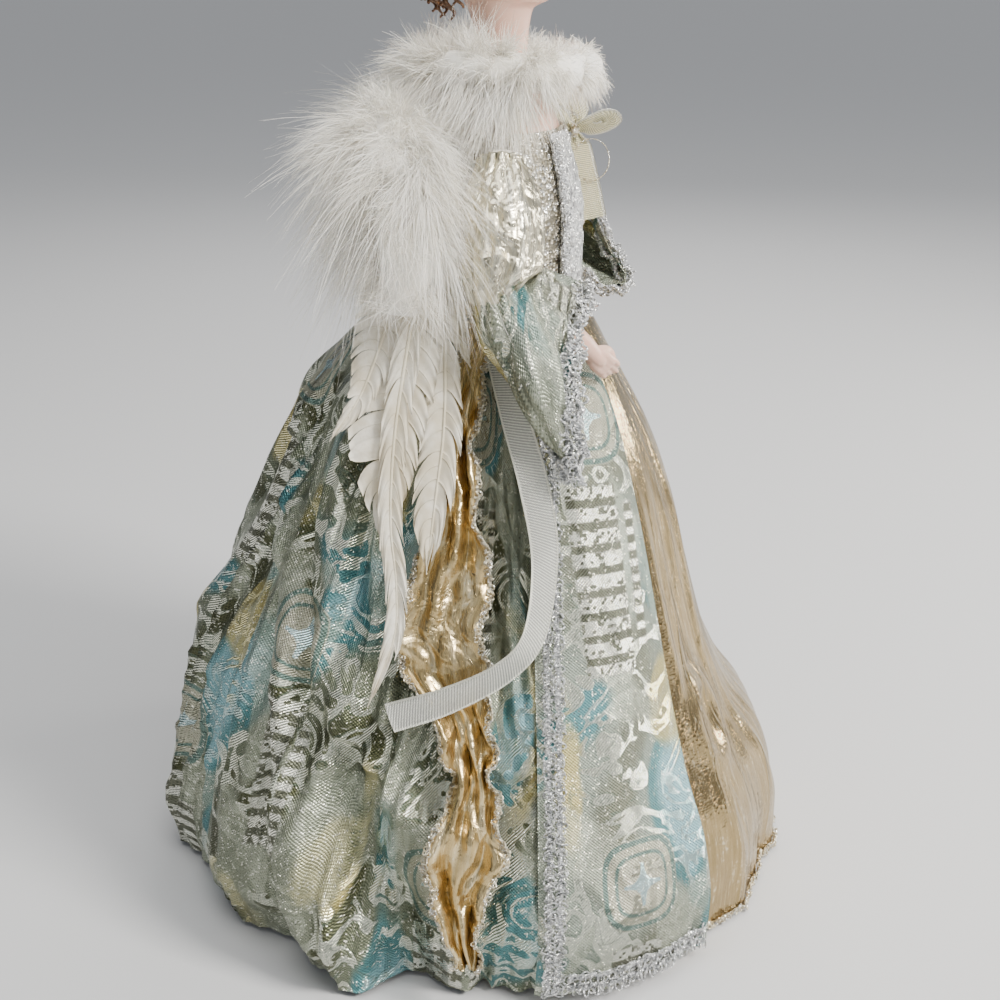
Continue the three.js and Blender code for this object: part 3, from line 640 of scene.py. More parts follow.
@dataclass(frozen=True)
class Brocade(Finish):
    """Metallic jacquard: ladder panels, medallions and scrolling leaves."""

    tile: tuple[float, float] = (0.080, 0.18)
    pitch: float = 0.0013
    crease: float = 0.0042
    olive: tuple[float, float, float] = (0.20, 0.21, 0.15)
    grey: tuple[float, float, float] = (0.29, 0.33, 0.27)
    metal: float = 0.72

    def draw(self, w: Wiring, shader: bpy.types.Node, shared: SharedEffects) -> None:
        """Wire the finish to the shader."""
        flat = w.flat()
        u, v, _ = w.split(flat)
        column = w.math("DIVIDE", u, self.tile[0])
        number = w.math("FLOOR", column)
        across = w.math("FRACT", column)
        drop = w.math("MULTIPLY", w.math("MODULO", number, 2.0), 0.45)
        along = w.math("FRACT", w.math("ADD", w.math("DIVIDE", v, self.tile[1]), drop))
        long = w.join(w.math("MULTIPLY", u, 1.6), w.math("MULTIPLY", v, 0.8), 0.0)
        cloud = w.noise(long, 13.0, 1.5, 0.5, 0.6).outputs["Fac"]
        second = w.noise(w.vector("ADD", long, (0.31, 0.17, 0.0)), 17.0, 1.5, 0.5,
                         0.4).outputs["Fac"]
        teal, sky, silver = (0.10, 0.25, 0.26), (0.27, 0.48, 0.52), (0.78, 0.80, 0.66)
        ground = w.paint(w.step(cloud, 0.40, 0.50), self.olive, self.grey)
        ground = w.paint(w.step(cloud, 0.53, 0.58), ground, teal)
        ground = w.paint(w.step(cloud, 0.61, 0.68), ground, sky)
        ground = w.paint(w.math("MULTIPLY", w.step(second, 0.62, 0.67), 0.8), ground,
                         (0.60, 0.50, 0.19))
        calm = w.step(w.noise(w.vector("ADD", long, (0.7, 0.4, 0.0)), 24.0, 1.0, 0.5,
                              0.5).outputs["Fac"], 0.50, 0.55)
        ground = w.paint(w.math("MULTIPLY", calm, 0.55), ground, (0.46, 0.49, 0.38))
        figured = w.math("SUBTRACT", 1.0, w.math("MULTIPLY", calm, 0.8))
        scrolls, rim = (w.math("MULTIPLY", part, figured) for part in self._scrolls(w, flat))
        pale = w.paint(w.step(cloud, 0.56, 0.66), silver, (0.52, 0.71, 0.70))
        pale = w.paint(w.step(second, 0.59, 0.65), pale, (0.88, 0.80, 0.44))
        colour = w.paint(w.math("MULTIPLY", scrolls, 0.92), ground, pale)
        colour = w.paint(w.math("MULTIPLY", rim, 0.5), colour, (0.14, 0.19, 0.15))
        ladder, panel = self._ladder(w, across, along, flat)
        colour = w.paint(panel, colour, (0.15, 0.155, 0.11))
        colour = w.paint(ladder, colour, (0.88, 0.88, 0.76))
        medal, ring, flower = self._medallion(w, across, along)
        colour = w.paint(medal, colour, (0.46, 0.45, 0.34))
        colour = w.paint(w.math("MULTIPLY", ring, 0.85), colour, (0.10, 0.19, 0.17))
        colour = w.paint(flower, colour, (0.60, 0.78, 0.78))
        bright = w.math("MAXIMUM", w.math("MAXIMUM", scrolls, ladder), flower)
        threads = w.group(shared.threads, Place=flat, Pitch=self.pitch,
                          Twill=w.math("MULTIPLY", bright, 0.8))
        height, glint = threads.outputs
        # Where the woven threads lie lowest the colour is multiplied darker: painted shade between
        # the threads.
        colour = w.paint(w.step(height, 0.3, -1.0), colour,
                         w.paint(1.0, colour, (0.35, 0.38, 0.36), "MULTIPLY"))
        spark = w.step(glint, 0.86, 0.98)
        colour = w.paint(w.math("MULTIPLY", spark, 0.5), colour, (1.0, 0.99, 0.86))
        w.put(shader.inputs["Base Color"], colour)
        metal = w.math("MAXIMUM", w.math("MULTIPLY_ADD", bright, 0.10, self.metal), spark)
        w.put(shader.inputs["Metallic"], metal)
        dull = w.math("MULTIPLY_ADD", spark, -0.10, w.math("MULTIPLY_ADD", bright, -0.08, 0.31))
        w.put(shader.inputs["Roughness"], dull)
        drawn = w.join(u, w.math("MULTIPLY", v, 0.35), 0.0)
        crinkle = w.group(shared.crinkle, Place=drawn, Scale=30.0).outputs[0]
        relief = w.bump(crinkle, self.crease, 0.8)
        w.put(shader.inputs["Normal"], w.bump(height, 0.00022, 0.8, relief))
        shader.inputs["Specular IOR Level"].default_value = 0.6

    @staticmethod
    def _scrolls(w: Wiring, flat: Socket) -> tuple[Socket, Socket]:
        """Scrolling leaves and their rim.

        Args:
            w: The wiring.
            flat: Place on the cloth.

        Returns:
            The mask of the leaves, and of the line round them.
        """
        bent = w.noise(flat, 44.0, 1.0, 0.4, 2.2).outputs["Fac"]
        leaves = w.math("MULTIPLY", w.step(bent, 0.49, 0.505), w.step(bent, 0.635, 0.62))
        rim = w.math("MAXIMUM", w.band(bent, 0.465, 0.485, 0.005), w.band(bent, 0.56, 0.57, 0.004))
        return leaves, rim

    @staticmethod
    def _ladder(w: Wiring, across: Socket, along: Socket, flat: Socket) -> tuple[Socket, Socket]:
        """A panel of bars like a ladder, with a row of squares beside it.

        Args:
            w: The wiring.
            across: Place across the tile.
            along: Place along the tile.
            flat: Place on the cloth.

        Returns:
            The mask of the bars, and of the dark panel.
        """
        wide = w.math("MULTIPLY", w.band(across, 0.31, 0.58, 0.008),
                      w.band(along, 0.008, 0.405, 0.006))
        small = w.math("MULTIPLY", w.band(across, 0.62, 0.67, 0.008),
                       w.band(along, 0.05, 0.36, 0.006))
        bars = w.band(w.math("FRACT", w.math("DIVIDE", along, 0.0472)), 0.12, 0.74, 0.05)
        blocks = w.band(w.math("FRACT", w.math("DIVIDE", along, 0.034)), 0.1, 0.55, 0.08)
        grain = w.node("TexWhiteNoise", {"noise_dimensions": "3D"}, Vector=w.vector(
            "FLOOR", w.scaled(flat, 1 / 0.0013)))
        broken = w.step(grain.outputs["Value"], 0.22, 0.3)
        bars = w.math("MULTIPLY", w.math("MULTIPLY", bars, wide), broken)
        mask = w.math("MAXIMUM", bars, w.math("MULTIPLY", blocks, small))
        return mask, w.math("MAXIMUM", wide, small)

    @staticmethod
    def _medallion(w: Wiring, across: Socket, along: Socket) -> tuple[Socket, Socket, Socket]:
        """A rounded square medallion with a cross-shaped flower.

        Args:
            w: The wiring.
            across: Place across the tile.
            along: Place along the tile.

        Returns:
            The masks of the medallion, of its rings and of its flower.
        """
        x = w.math("MULTIPLY", w.math("SUBTRACT", across, 0.47), 4.85)
        y = w.math("MULTIPLY", w.math("SUBTRACT", along, 0.8636), 9.7)
        x4 = w.math("POWER", w.math("ABSOLUTE", x), 3.2)
        y4 = w.math("POWER", w.math("ABSOLUTE", y), 3.2)
        size = w.math("POWER", w.math("ADD", x4, y4), 1 / 3.2)
        inside = w.step(size, 1.02, 0.98)
        ring = w.math("MAXIMUM", w.band(size, 0.86, 0.98, 0.02), w.band(size, 0.62, 0.70, 0.02))
        arm = w.math("MULTIPLY", w.math("ABSOLUTE", x), w.math("ABSOLUTE", y))
        cross = w.math("MULTIPLY", w.step(arm, 0.022, 0.014), w.step(size, 0.5, 0.46))
        heart = w.step(size, 0.2, 0.16)
        return inside, ring, w.math("MAXIMUM", cross, heart)


@dataclass(frozen=True)
class Lame(Finish):
    """Metallic satin: fine lengthwise threads, soft creases and bright specks."""

    colour: tuple[float, float, float] = (0.62, 0.46, 0.22)
    shine: tuple[float, float, float] = (0.93, 0.76, 0.44)
    crease: float = 0.0035
    scale: float = 30.0
    satin: bool = False

    def draw(self, w: Wiring, shader: bpy.types.Node, shared: SharedEffects) -> None:
        """Wire the finish to the shader."""
        flat = w.flat()
        u, v, _ = w.split(flat)
        long = w.join(u, w.math("MULTIPLY", v, 0.06), 0.0)
        fine = w.noise(long, 1500.0, 1.0, 0.5).outputs["Fac"]
        streak = w.noise(long, 900.0 if self.satin else 260.0, 2.0, 0.6).outputs["Fac"]
        colour = w.paint(w.step(streak, 0.38, 0.7), self.colour, self.shine)
        specks = w.group(shared.glitter, Place=flat, Size=0.0011)
        spark = w.math("MULTIPLY", specks.outputs["Sparkle"], w.step(streak, 0.5, 0.7))
        colour = w.paint(w.math("MULTIPLY", spark, 0.6), colour, (1.0, 0.93, 0.72))
        toned = w.group(shared.tone, Color=colour, Place=flat, Scale=14.0, Amount=0.25)
        w.put(shader.inputs["Base Color"], toned.outputs[0])
        shader.inputs["Metallic"].default_value = 0.96
        gloss = (0.17, 0.25) if self.satin else (0.22, 0.34)
        w.put(shader.inputs["Roughness"], w.step(fine, 0.3, 0.7, *gloss))
        if self.satin:
            dents = w.noise(flat, self.scale, 1.0, 0.4, 0.6).outputs["Fac"]
            drawn = w.join(u, w.math("MULTIPLY", v, 0.14), 0.0)
            lines = w.noise(drawn, 62.0, 1.0, 0.5).outputs["Fac"]
            ridge = w.step(w.math("ABSOLUTE", w.math("SUBTRACT", lines, 0.5)), 0.05, 0.0)
            crinkle = w.math("MULTIPLY_ADD", ridge, 0.05, dents)
        else:
            crinkle = w.group(shared.crinkle, Place=flat, Scale=self.scale).outputs[0]
        relief = w.bump(crinkle, self.crease, 0.85)
        threads = w.bump(fine, 0.00012, 0.22 if self.satin else 0.5, relief)
        w.put(shader.inputs["Normal"], w.bump(
            specks.outputs["Height"], 0.00016, 0.35, threads))


@dataclass(frozen=True)
class Glitter(Finish):
    """Metallic thread and glitter that sparkles facet by facet."""

    colour: tuple[float, float, float] = (0.66, 0.67, 0.66)
    dark: tuple[float, float, float] = (0.20, 0.20, 0.19)
    size: float = 0.0009
    rough: float = 0.3

    def draw(self, w: Wiring, shader: bpy.types.Node, shared: SharedEffects) -> None:
        """Wire the finish to the shader."""
        place = w.solid()
        facets = w.group(shared.glitter, Place=place, Size=self.size)
        height, spark = facets.outputs
        cloud = w.noise(place, 500.0, 2.0, 0.6).outputs["Fac"]
        colour = w.paint(w.step(cloud, 0.3, 0.62), self.dark, self.colour)
        colour = w.paint(spark, colour, (1.0, 0.99, 0.94))
        w.put(shader.inputs["Base Color"], colour)
        shader.inputs["Metallic"].default_value = 0.9
        w.put(shader.inputs["Roughness"], w.math("SUBTRACT", self.rough + 0.15,
                                                 w.math("MULTIPLY", spark, 0.25)))
        w.put(shader.inputs["Normal"], w.bump(height, self.size * 0.9, 0.9))


@dataclass(frozen=True)
class Sheer(Finish):
    """Sheer ribbon: ribs across it, bound edges and light through the gaps."""

    colour: tuple[float, float, float] = (0.80, 0.80, 0.72)
    width: float = 0.011
    rib: float = 0.0011
    cover: float = 0.66

    def draw(self, w: Wiring, shader: bpy.types.Node, shared: SharedEffects) -> None:
        """Wire the finish to the shader."""
        flat = w.flat()
        u, v, _ = w.split(flat)
        from_edge = w.math("SUBTRACT", self.width / 2, w.math("ABSOLUTE", u))
        edge = w.step(from_edge, 0.0011, 0.0006)
        slant = w.math("ADD", v, w.math("MULTIPLY", u, 0.45))
        wave = w.math("SINE", w.math("MULTIPLY", slant, math.tau / self.rib))
        ribs = w.step(wave, -0.3, 0.5)
        threads = w.group(shared.threads, Place=flat, Pitch=0.0008, Twill=0.0)
        body = w.paint(ribs, tuple(part * 0.8 for part in self.colour), self.colour)
        spark = w.step(threads.outputs["Glint"], 0.82, 0.98)
        body = w.paint(w.math("MULTIPLY", spark, 0.6), body, (0.95, 0.95, 0.88))
        w.put(shader.inputs["Base Color"], w.paint(edge, body, (0.86, 0.85, 0.74)))
        cover = w.math("ADD", w.math("MULTIPLY", ribs, 1 - self.cover), self.cover)
        w.put(shader.inputs["Alpha"], w.math("MAXIMUM", cover, edge))
        w.put(shader.inputs["Metallic"], w.math("MULTIPLY_ADD", spark, 0.3, 0.5))
        shader.inputs["Roughness"].default_value = 0.34
        height = w.math("ADD", w.math("MULTIPLY", wave, 0.6), threads.outputs["Height"])
        w.put(shader.inputs["Normal"], w.bump(w.math("ADD", height, edge), 0.0002, 0.8))


@dataclass(frozen=True)
class Plume(Finish):
    """Feather: soft white keratin, a little translucent, with fine barbs."""

    colour: tuple[float, float, float] = (0.90, 0.87, 0.80)
    deep: tuple[float, float, float] = (0.78, 0.73, 0.62)
    glow: float = 0.12

    def draw(self, w: Wiring, shader: bpy.types.Node, shared: SharedEffects) -> None:
        """Wire the finish to the shader."""
        place = w.solid()
        cloud = w.noise(place, 60.0, 3.0, 0.6).outputs["Fac"]
        fine = w.noise(place, 900.0, 2.0, 0.5).outputs["Fac"]
        colour = w.paint(w.step(cloud, 0.62, 0.35), self.colour, self.deep)
        colour = w.paint(w.math("MULTIPLY", w.step(fine, 0.5, 0.3), 0.3), colour, self.deep)
        w.put(shader.inputs["Base Color"], colour)
        shader.inputs["Roughness"].default_value = 0.62
        shader.inputs["Sheen Weight"].default_value = 0.35
        shader.inputs["Sheen Roughness"].default_value = 0.4
        shader.inputs["Subsurface Weight"].default_value = self.glow
        shader.inputs["Subsurface Radius"].default_value = (0.004, 0.0036, 0.003)
        shader.inputs["Subsurface Scale"].default_value = 1.0
        w.put(shader.inputs["Normal"], w.bump(fine, 0.0002, 0.4))


@dataclass(frozen=True)
class Porcelain(Finish):
    """Tinted bisque porcelain; painted places are read from an attribute."""

    colour: tuple[float, float, float] = (0.76, 0.49, 0.38)
    painted: bool = False

    def draw(self, w: Wiring, shader: bpy.types.Node, shared: SharedEffects) -> None:
        """Wire the finish to the shader."""
        place = w.solid()
        mottle = w.noise(place, 90.0, 4.0, 0.6).outputs["Fac"]
        rose = w.paint(w.math("MULTIPLY", w.step(mottle, 0.45, 0.75), 0.5), self.colour,
                       (0.78, 0.41, 0.32))
        colour = rose
        if self.painted:
            tint = w.node("Attribute", {"attribute_name": "tint"})
            cover = w.node("Attribute", {"attribute_name": "cover"})
            colour = w.paint(cover.outputs["Fac"], rose, tint.outputs["Color"])
        w.put(shader.inputs["Base Color"], colour)
        grain = w.noise(place, 2600.0, 2.0, 0.5).outputs["Fac"]
        w.put(shader.inputs["Roughness"], w.step(mottle, 0.3, 0.7, 0.36, 0.46))
        shader.inputs["Subsurface Weight"].default_value = 0.15
        shader.inputs["Subsurface Radius"].default_value = (0.0022, 0.0011, 0.0007)
        shader.inputs["Subsurface Scale"].default_value = 1.0
        shader.inputs["Coat Weight"].default_value = 0.12
        shader.inputs["Coat Roughness"].default_value = 0.3
        w.put(shader.inputs["Normal"], w.bump(grain, 0.00004, 0.5))


@dataclass(frozen=True)
class Strand(Finish):
    """Hair: streaks of darker and lighter brown along the strands."""

    colour: tuple[float, float, float] = (0.075, 0.034, 0.015)
    light: tuple[float, float, float] = (0.23, 0.115, 0.05)

    def draw(self, w: Wiring, shader: bpy.types.Node, shared: SharedEffects) -> None:
        """Wire the finish to the shader."""
        u, v, _ = w.split(w.flat())
        long = w.join(u, w.math("MULTIPLY", v, 0.03), 0.0)
        fine = w.noise(long, 2600.0, 2.0, 0.6).outputs["Fac"]
        broad = w.noise(w.solid(), 90.0, 2.0, 0.5).outputs["Fac"]
        mixed = w.math("MULTIPLY_ADD", broad, 0.5, w.math("MULTIPLY", fine, 0.5))
        w.put(shader.inputs["Base Color"], w.paint(w.step(mixed, 0.36, 0.66), self.colour,
                                                   self.light))
        w.put(shader.inputs["Roughness"], w.step(fine, 0.3, 0.7, 0.32, 0.5))
        shader.inputs["Specular IOR Level"].default_value = 0.6
        w.put(shader.inputs["Normal"], w.bump(fine, 0.00015, 0.6))


@dataclass(frozen=True)
class Plain(Finish):
    """Cotton, card or fibreboard: a plain colour with its own fibres."""

    colour: tuple[float, float, float] = (0.80, 0.76, 0.68)
    dark: tuple[float, float, float] = (0.62, 0.57, 0.48)
    fibre: float = 900.0
    relief: float = 0.0002

    def draw(self, w: Wiring, shader: bpy.types.Node, shared: SharedEffects) -> None:
        """Wire the finish to the shader."""
        place = w.solid()
        fibres = w.noise(place, self.fibre, 3.0, 0.6, 0.6).outputs["Fac"]
        colour = w.paint(w.step(fibres, 0.36, 0.64), self.dark, self.colour)
        toned = w.group(shared.tone, Color=colour, Place=place, Scale=22.0, Amount=0.2)
        w.put(shader.inputs["Base Color"], toned.outputs[0])
        shader.inputs["Roughness"].default_value = 0.85
        w.put(shader.inputs["Normal"], w.bump(fibres, self.relief, 0.6))


class Finishes:
    """Every material of the figurine, made once."""

    def __init__(self) -> None:
        """Build the shared groups, then the materials."""
        shared = SharedEffects()
        kinds = [
            # The overskirt's brocade has a much darker olive and grey ground than the tabard's copy
            # of the same cloth: painted shade.
            Brocade("brocade", "brocade", crease=0.0055, olive=(0.085, 0.09, 0.045),
                    grey=(0.20, 0.22, 0.15), metal=0.88),
            Brocade("tabard_brocade", "brocade"),
            Brocade("sleeve_brocade", "brocade"),
            Lame("gold_lame", "gold_lame"),
            Lame("front_lame", "gold_lame", (0.40, 0.295, 0.145), (0.50, 0.38, 0.20), 0.006, 14.0,
                 True),
            Lame("pale_lame", "gold_lame", (0.66, 0.60, 0.44), (0.90, 0.86, 0.70), 0.0040, 44.0),
            Glitter("silver_braid", "silver_braid", (0.86, 0.87, 0.88), (0.42, 0.42, 0.42)),
            Glitter("gold_braid", "gold_braid", (0.95, 0.88, 0.70), (0.42, 0.34, 0.20)),
            Glitter("glitter_cloth", "glitter_cloth", (0.62, 0.57, 0.46), (0.26, 0.23, 0.16),
                    0.0012),
            Glitter("silver_glitter", "silver_braid", (0.82, 0.82, 0.82), (0.26, 0.26, 0.26),
                    0.0011),
            Sheer("sheer_ribbon", "sheer_ribbon"),
            Sheer("organza", "organza", (0.96, 0.91, 0.60), 0.010, 0.0009, 0.62),
            Plume("down", "down", (0.97, 0.94, 0.87), (0.93, 0.89, 0.80)),
            Plume("vane", "vane", (0.88, 0.83, 0.70), (0.66, 0.58, 0.42), 0.1),
            Plume("quill", "vane", (0.85, 0.78, 0.60), (0.70, 0.62, 0.44), 0.2),
            Porcelain("porcelain", "porcelain"),
            Porcelain("painted_porcelain", "porcelain", painted=True),
            Strand("hair", "hair"),
            Plain("stuffing", "stuffing"),
            Plain("card", "card", (0.42, 0.31, 0.20), (0.33, 0.24, 0.15), 600.0, 0.0001),
            Plain("board", "board", (0.36, 0.25, 0.15), (0.25, 0.17, 0.10), 420.0, 0.0002),
        ]
        self.made = {kind.name: kind.material(shared) for kind in kinds}
        self.slots = {self.made[kind.name].name: kind.slot for kind in kinds}

    def __getitem__(self, name: str) -> bpy.types.Material:
        """The material of that name."""
        return self.made[name]

    def settle(self, piece: bpy.types.Object, body: str, *nodes: str) -> bpy.types.Object:
        """Fix a rigid piece to its body, and hide and log the nodes that it stands for.

        Args:
            piece: The finished piece.
            body: The body that it rides on.
            *nodes: Nodes of the frame that it replaces.

        Returns:
            The piece.
        """
        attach(piece, body)
        self.mark(piece, *nodes)
        return piece

    def mark(self, piece: bpy.types.Object, *nodes: str) -> None:
        """Hide the nodes that a piece stands for, and log it."""
        if nodes:
            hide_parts(*nodes)
        log.info("%s: %d faces, for %s", piece.name, len(piece.data.polygons),
                 ", ".join(nodes) or "no node")


def heading(turn: np.ndarray) -> np.ndarray:
    """Unit directions around the figure for turns in degrees."""
    angle = np.radians(np.asarray(turn, float))
    return np.stack([np.sin(angle), -np.cos(angle), np.zeros_like(angle)], -1)


@dataclass(frozen=True)
class Fold:
    """A ridge of cloth down the dress, or a valley where its height is negative."""

    route: tuple[tuple[float, float], ...]
    width: float
    height: float
    lean: float = 0.0

    def lift(self, turn: np.ndarray, fall: np.ndarray) -> np.ndarray:
        """Height of the fold at places on the dress.

        Args:
            turn: Degrees around the figure.
            fall: Shares of the fall from waist to hem.

        Returns:
            The lift in millimetres.
        """
        rows = np.asarray(self.route)
        centre = np.interp(fall, rows[:, 0], rows[:, 1])
        fade = ease(fall, rows[0, 0] - 0.10, rows[0, 0] + 0.06)
        if rows[-1, 0] < 0.97:
            fade = fade * (1 - ease(fall, rows[-1, 0] - 0.05, rows[-1, 0] + 0.10))
        across = (turn - centre) / self.width
        across = across / np.where(across > 0, 1 + self.lean, 1 - self.lean)
        return self.height * fade * np.exp(-across ** 2)

    def mirrored(self, offset: float = 0.0) -> "Fold":
        """The fold of the figure's other side."""
        route = tuple((fall, 360 - turn + offset) for fall, turn in self.route)
        return Fold(route, self.width, self.height * 0.9, -self.lean)


@dataclass(frozen=True)
class DressForm:
    """The outline that skirts, tabards, sashes and ribbons lie on."""

    shoulder_height: float = 325.0
    waist_drop: float = 77.0
    hem_height: float = 2.0
    body_shift: float = 8.0
    waist_radius: float = 29.7
    front_reach: float = 134.0
    side_reach: float = 128.0
    back_reach: float = 150.0
    back_draw: float = 7.0
    cloth: float = 1.2
    nip: float = 0.3
    shares: tuple[tuple[float, float, float], ...] = (
        (0, 0, 0), (0.035, 0.19, 0.07), (0.08, 0.29, 0.13), (0.13, 0.37, 0.2),
        (0.22, 0.46, 0.32), (0.33, 0.565, 0.425), (0.45, 0.68, 0.505), (0.58, 0.8, 0.6),
        (0.7, 0.895, 0.73), (0.8, 0.96, 0.905), (0.9, 1, 0.975), (1, 0.985, 0.99))

    @property
    def top(self) -> float:
        """Height of the waist."""
        return self.shoulder_height - self.waist_drop

    @property
    def length(self) -> float:
        """Height from hem to waist."""
        return self.top - self.hem_height

    def radius(self, turn: np.ndarray, fall: np.ndarray) -> np.ndarray:
        """Radius of the dress before folds."""
        facing = np.cos(np.radians(turn))
        weight = facing ** 2
        end = np.where(facing > 0, self.front_reach, self.back_reach)
        reach = self.side_reach + (end - self.side_reach) * weight
        read = curve(self.shares, np.clip(fall, 0, 1))
        share = read[..., 0] + (read[..., 1] - read[..., 0]) * np.where(facing > 0, weight, 0)
        drawn = self.back_draw * ease(fall, 0.5, 0.85) * np.where(facing > 0, 0, weight)
        return self.waist_radius + 2 * (self.cloth + self.nip) + (
            reach - self.waist_radius) * share - drawn

    def place(self, turn: np.ndarray, fall: np.ndarray, lift: np.ndarray) -> np.ndarray:
        """Points on the dress.

        Args:
            turn: Degrees around the figure.
            fall: Shares of the fall from waist to hem.
            lift: Distance off the outline, outwards.

        Returns:
            The points in millimetres.
        """
        turn, fall, lift = np.broadcast_arrays(turn, fall, lift)
        points = heading(turn) * (self.radius(turn, fall) + lift)[..., None]
        points[..., 1] -= self.body_shift * (1 - fall)
        points[..., 2] = self.top - self.length * fall
        return points


FORM = DressForm()


@dataclass
class Skirts:
    """Brocade overskirt over a gold lame underskirt."""

    finishes: Finishes
    over_edge: float = 77.0
    layer: float = 1.5
    under_gap: float = 16.0
    sink: float = 3.5
    columns: int = 280
    rows: int = 124
    around: int = 289

    def folds(self) -> list[Fold]:
        """Main folds of the overskirt, near side first, then the far side and the back."""
        near = [
            Fold(((0.10, 187), (0.19, 192), (0.29, 206), (0.37, 213), (0.45, 220), (0.60, 228),
                  (0.77, 233.5), (0.87, 239), (1.0, 246)), 4.6, 8.5, 0.3),
            Fold(((0.40, 216), (0.60, 222), (0.80, 226), (1.0, 231)), 4.8, -8.0),
            Fold(((0.16, 221), (0.26, 224), (0.39, 227.5), (0.50, 236), (0.58, 240.5),
                  (0.63, 249.5), (0.70, 257.5), (0.76, 262)), 4.4, 5.5, 0.2),
            Fold(((0.30, 219), (0.45, 226), (0.55, 231), (0.70, 235.5)), 2.6, -6.0),
            Fold(((0.68, 235), (0.80, 239.5), (0.87, 244.5), (1.0, 250)), 4.0, 4.5),
            Fold(((0.62, 243), (0.76, 247.5), (0.84, 254), (1.0, 257)), 4.4, -8.5),
            Fold(((0.64, 254), (0.75, 257), (0.86, 262), (1.0, 265)), 4.5, 3.5),
            Fold(((0.05, 272), (0.31, 271), (0.50, 278), (0.61, 279), (1.0, 279)), 3.6, 3.0),
            Fold(((0.02, 203), (0.25, 199), (0.55, 203), (1.0, 206)), 7.0, -7.5),
        ]
        back = [
            Fold(((0.05, 172), (0.35, 176), (0.7, 183), (1.0, 188)), 6.2, 4.7, -0.2),
            Fold(((0.30, 160), (0.6, 163), (1.0, 166)), 7.0, -5.0),
            Fold(((0.10, 150), (0.5, 148), (1.0, 143)), 5.6, 4.5, 0.2),
        ]
        return near + back + [fold.mirrored() for fold in near]

    def over_lift(self, turn: np.ndarray, fall: np.ndarray) -> np.ndarray:
        """Lift of the overskirt off the dress outline.

        Args:
            turn: Degrees around the figure.
            fall: Shares of the fall from waist to hem.

        Returns:
            The lift in millimetres.
        """
        lift = sum(fold.lift(turn, fall) for fold in self.folds()) - self.sink
        noise = Ripple(11)
        bend = noise(turn * 0.05, fall * 2.2, 3.1) * 7
        pleats = noise((turn + bend) * 0.21, fall * 1.5, 0.4)
        small = noise((turn + bend * 0.6) * 0.5, fall * 4.5, 7.7)
        lift = lift * ease(fall, 0.0, 0.25) + pleats * 2.0 * ease(fall, 0.04, 0.35)
        lift = lift + small * 0.9 * ease(fall, 0.05, 0.5)
        crisp = np.clip(1 - np.abs(noise((turn + bend) * 0.15, fall * 1.7, 12.0)) * 3.4, -0.6, 1)
        cross = np.clip(1 - np.abs(noise(turn * 0.09 + fall * 5, fall * 6.5, 15.0)) * 3.8, 0, 1)
        lift = lift + (crisp * 3.8 - 1.0) * ease(fall, 0.06, 0.3)
        lift = lift + (cross * 1.8 - 0.3) * ease(fall, 0.3, 0.6)
        gathers = np.cos(np.radians((turn + bend * 0.4) * 26)) * (1 - ease(fall, 0.04, 0.24))
        lift = lift + gathers * 0.9 * ease(fall, 0.0, 0.05)
        hem = ease(fall, 0.90, 1.0)
        pinch = np.cos(np.radians((turn + bend * 0.5) * 30 + 40 * noise(turn * 0.3, 0.0, 5.0)))
        lift = lift - hem * 3.6 + pinch * hem * 1.3
        edge = np.minimum(turn - self.over_edge, 360 - self.over_edge - turn)
        settled = ease(edge, 0.0, 5.0)
        return np.clip(lift, -12.0, 9.0) * (0.25 + 0.75 * settled)

    def overskirt(self) -> bpy.types.Object:
        """Build the overskirt, its front edges rolled and its hem puffed and turned under."""
        turn, fall = np.meshgrid(np.linspace(self.over_edge, 360 - self.over_edge, self.columns),
                                 np.linspace(0, 1, self.rows))
        grid = FORM.place(turn, fall, self.over_lift(turn, fall))
        edge = np.minimum(turn - self.over_edge, 360 - self.over_edge - turn)
        roll = 1 - ease(edge, 0.0, 1.6)
        grid -= heading(turn) * (roll * 1.4 * ease(fall, 0.02, 0.1))[..., None]
        under = ease(fall, 0.955, 1.0)
        grid[..., 2] += under * 1.0
        down = run_of(grid)
        across = (turn - 180) * math.radians(1) * FORM.side_reach
        uv = np.stack([across + 13.2, down + 109], -1) * MM
        # Its brocade finish has the darker ground, painted shade for the overskirt.
        piece = cloth_wall("overskirt_cloth", grid, uv, self.finishes["brocade"])
        return self.finishes.settle(piece, "dress", "overskirt")

    def under_lift(self, turn: np.ndarray, fall: np.ndarray) -> np.ndarray:
        """Lift of the underskirt: shown in front, tucked behind the overskirt elsewhere.

        Args:
            turn: Degrees around the figure, from -180 to 180.
            fall: Shares of the fall from waist to hem.

        Returns:
            The lift in millimetres.
        """
        side = np.abs(turn)
        gathered = ease(fall, 0.0, 0.5)
        behind = ease(side, 36.0, 69.0)
        tuck = self.layer + (self.under_gap - self.layer) * ease(fall, 0.0, 0.25)
        noise = Ripple(5)
        bend = noise(turn * 0.04, fall * 2.0, 1.3) * 5
        crease = 1 - np.abs(noise((turn + bend) * 0.16, fall * 1.1, 2.0)) * 2.2
        shown = 1 - ease(side, 42.0, 50.0)
        near = [Fold(((0.05, -43), (0.4, -43), (0.75, -39), (1.0, -34)), 2.3, 2.4, 0.2),
                Fold(((0.30, -30), (0.6, -28), (1.0, -21)), 4.6, -2.4),
                Fold(((0.20, -16.5), (0.6, -15.5), (1.0, -12)), 4.1, 1.9)]
        creases = near + [fold.mirrored(-360.0) for fold in near]
        ridges = sum(fold.lift(turn, fall) for fold in creases)
        small = noise(turn * 0.35, fall * 5.0, 9.0) * 0.6
        puff = np.hypot((side - 31) / 8.0, (fall - 0.67) / 0.075)
        ring = 3.2 * np.exp(-((puff - 0.8) / 0.31) ** 2)
        main = gathered * (crease * 1.0 + ridges + small + ring - 1.0) * shown
        flare = shown * ease(fall, 0.9, 1.0) * noise(turn * 0.12, 4.0, 4.0) * 2.0
        return -(self.layer + (tuck - self.layer) * behind) + main + flare

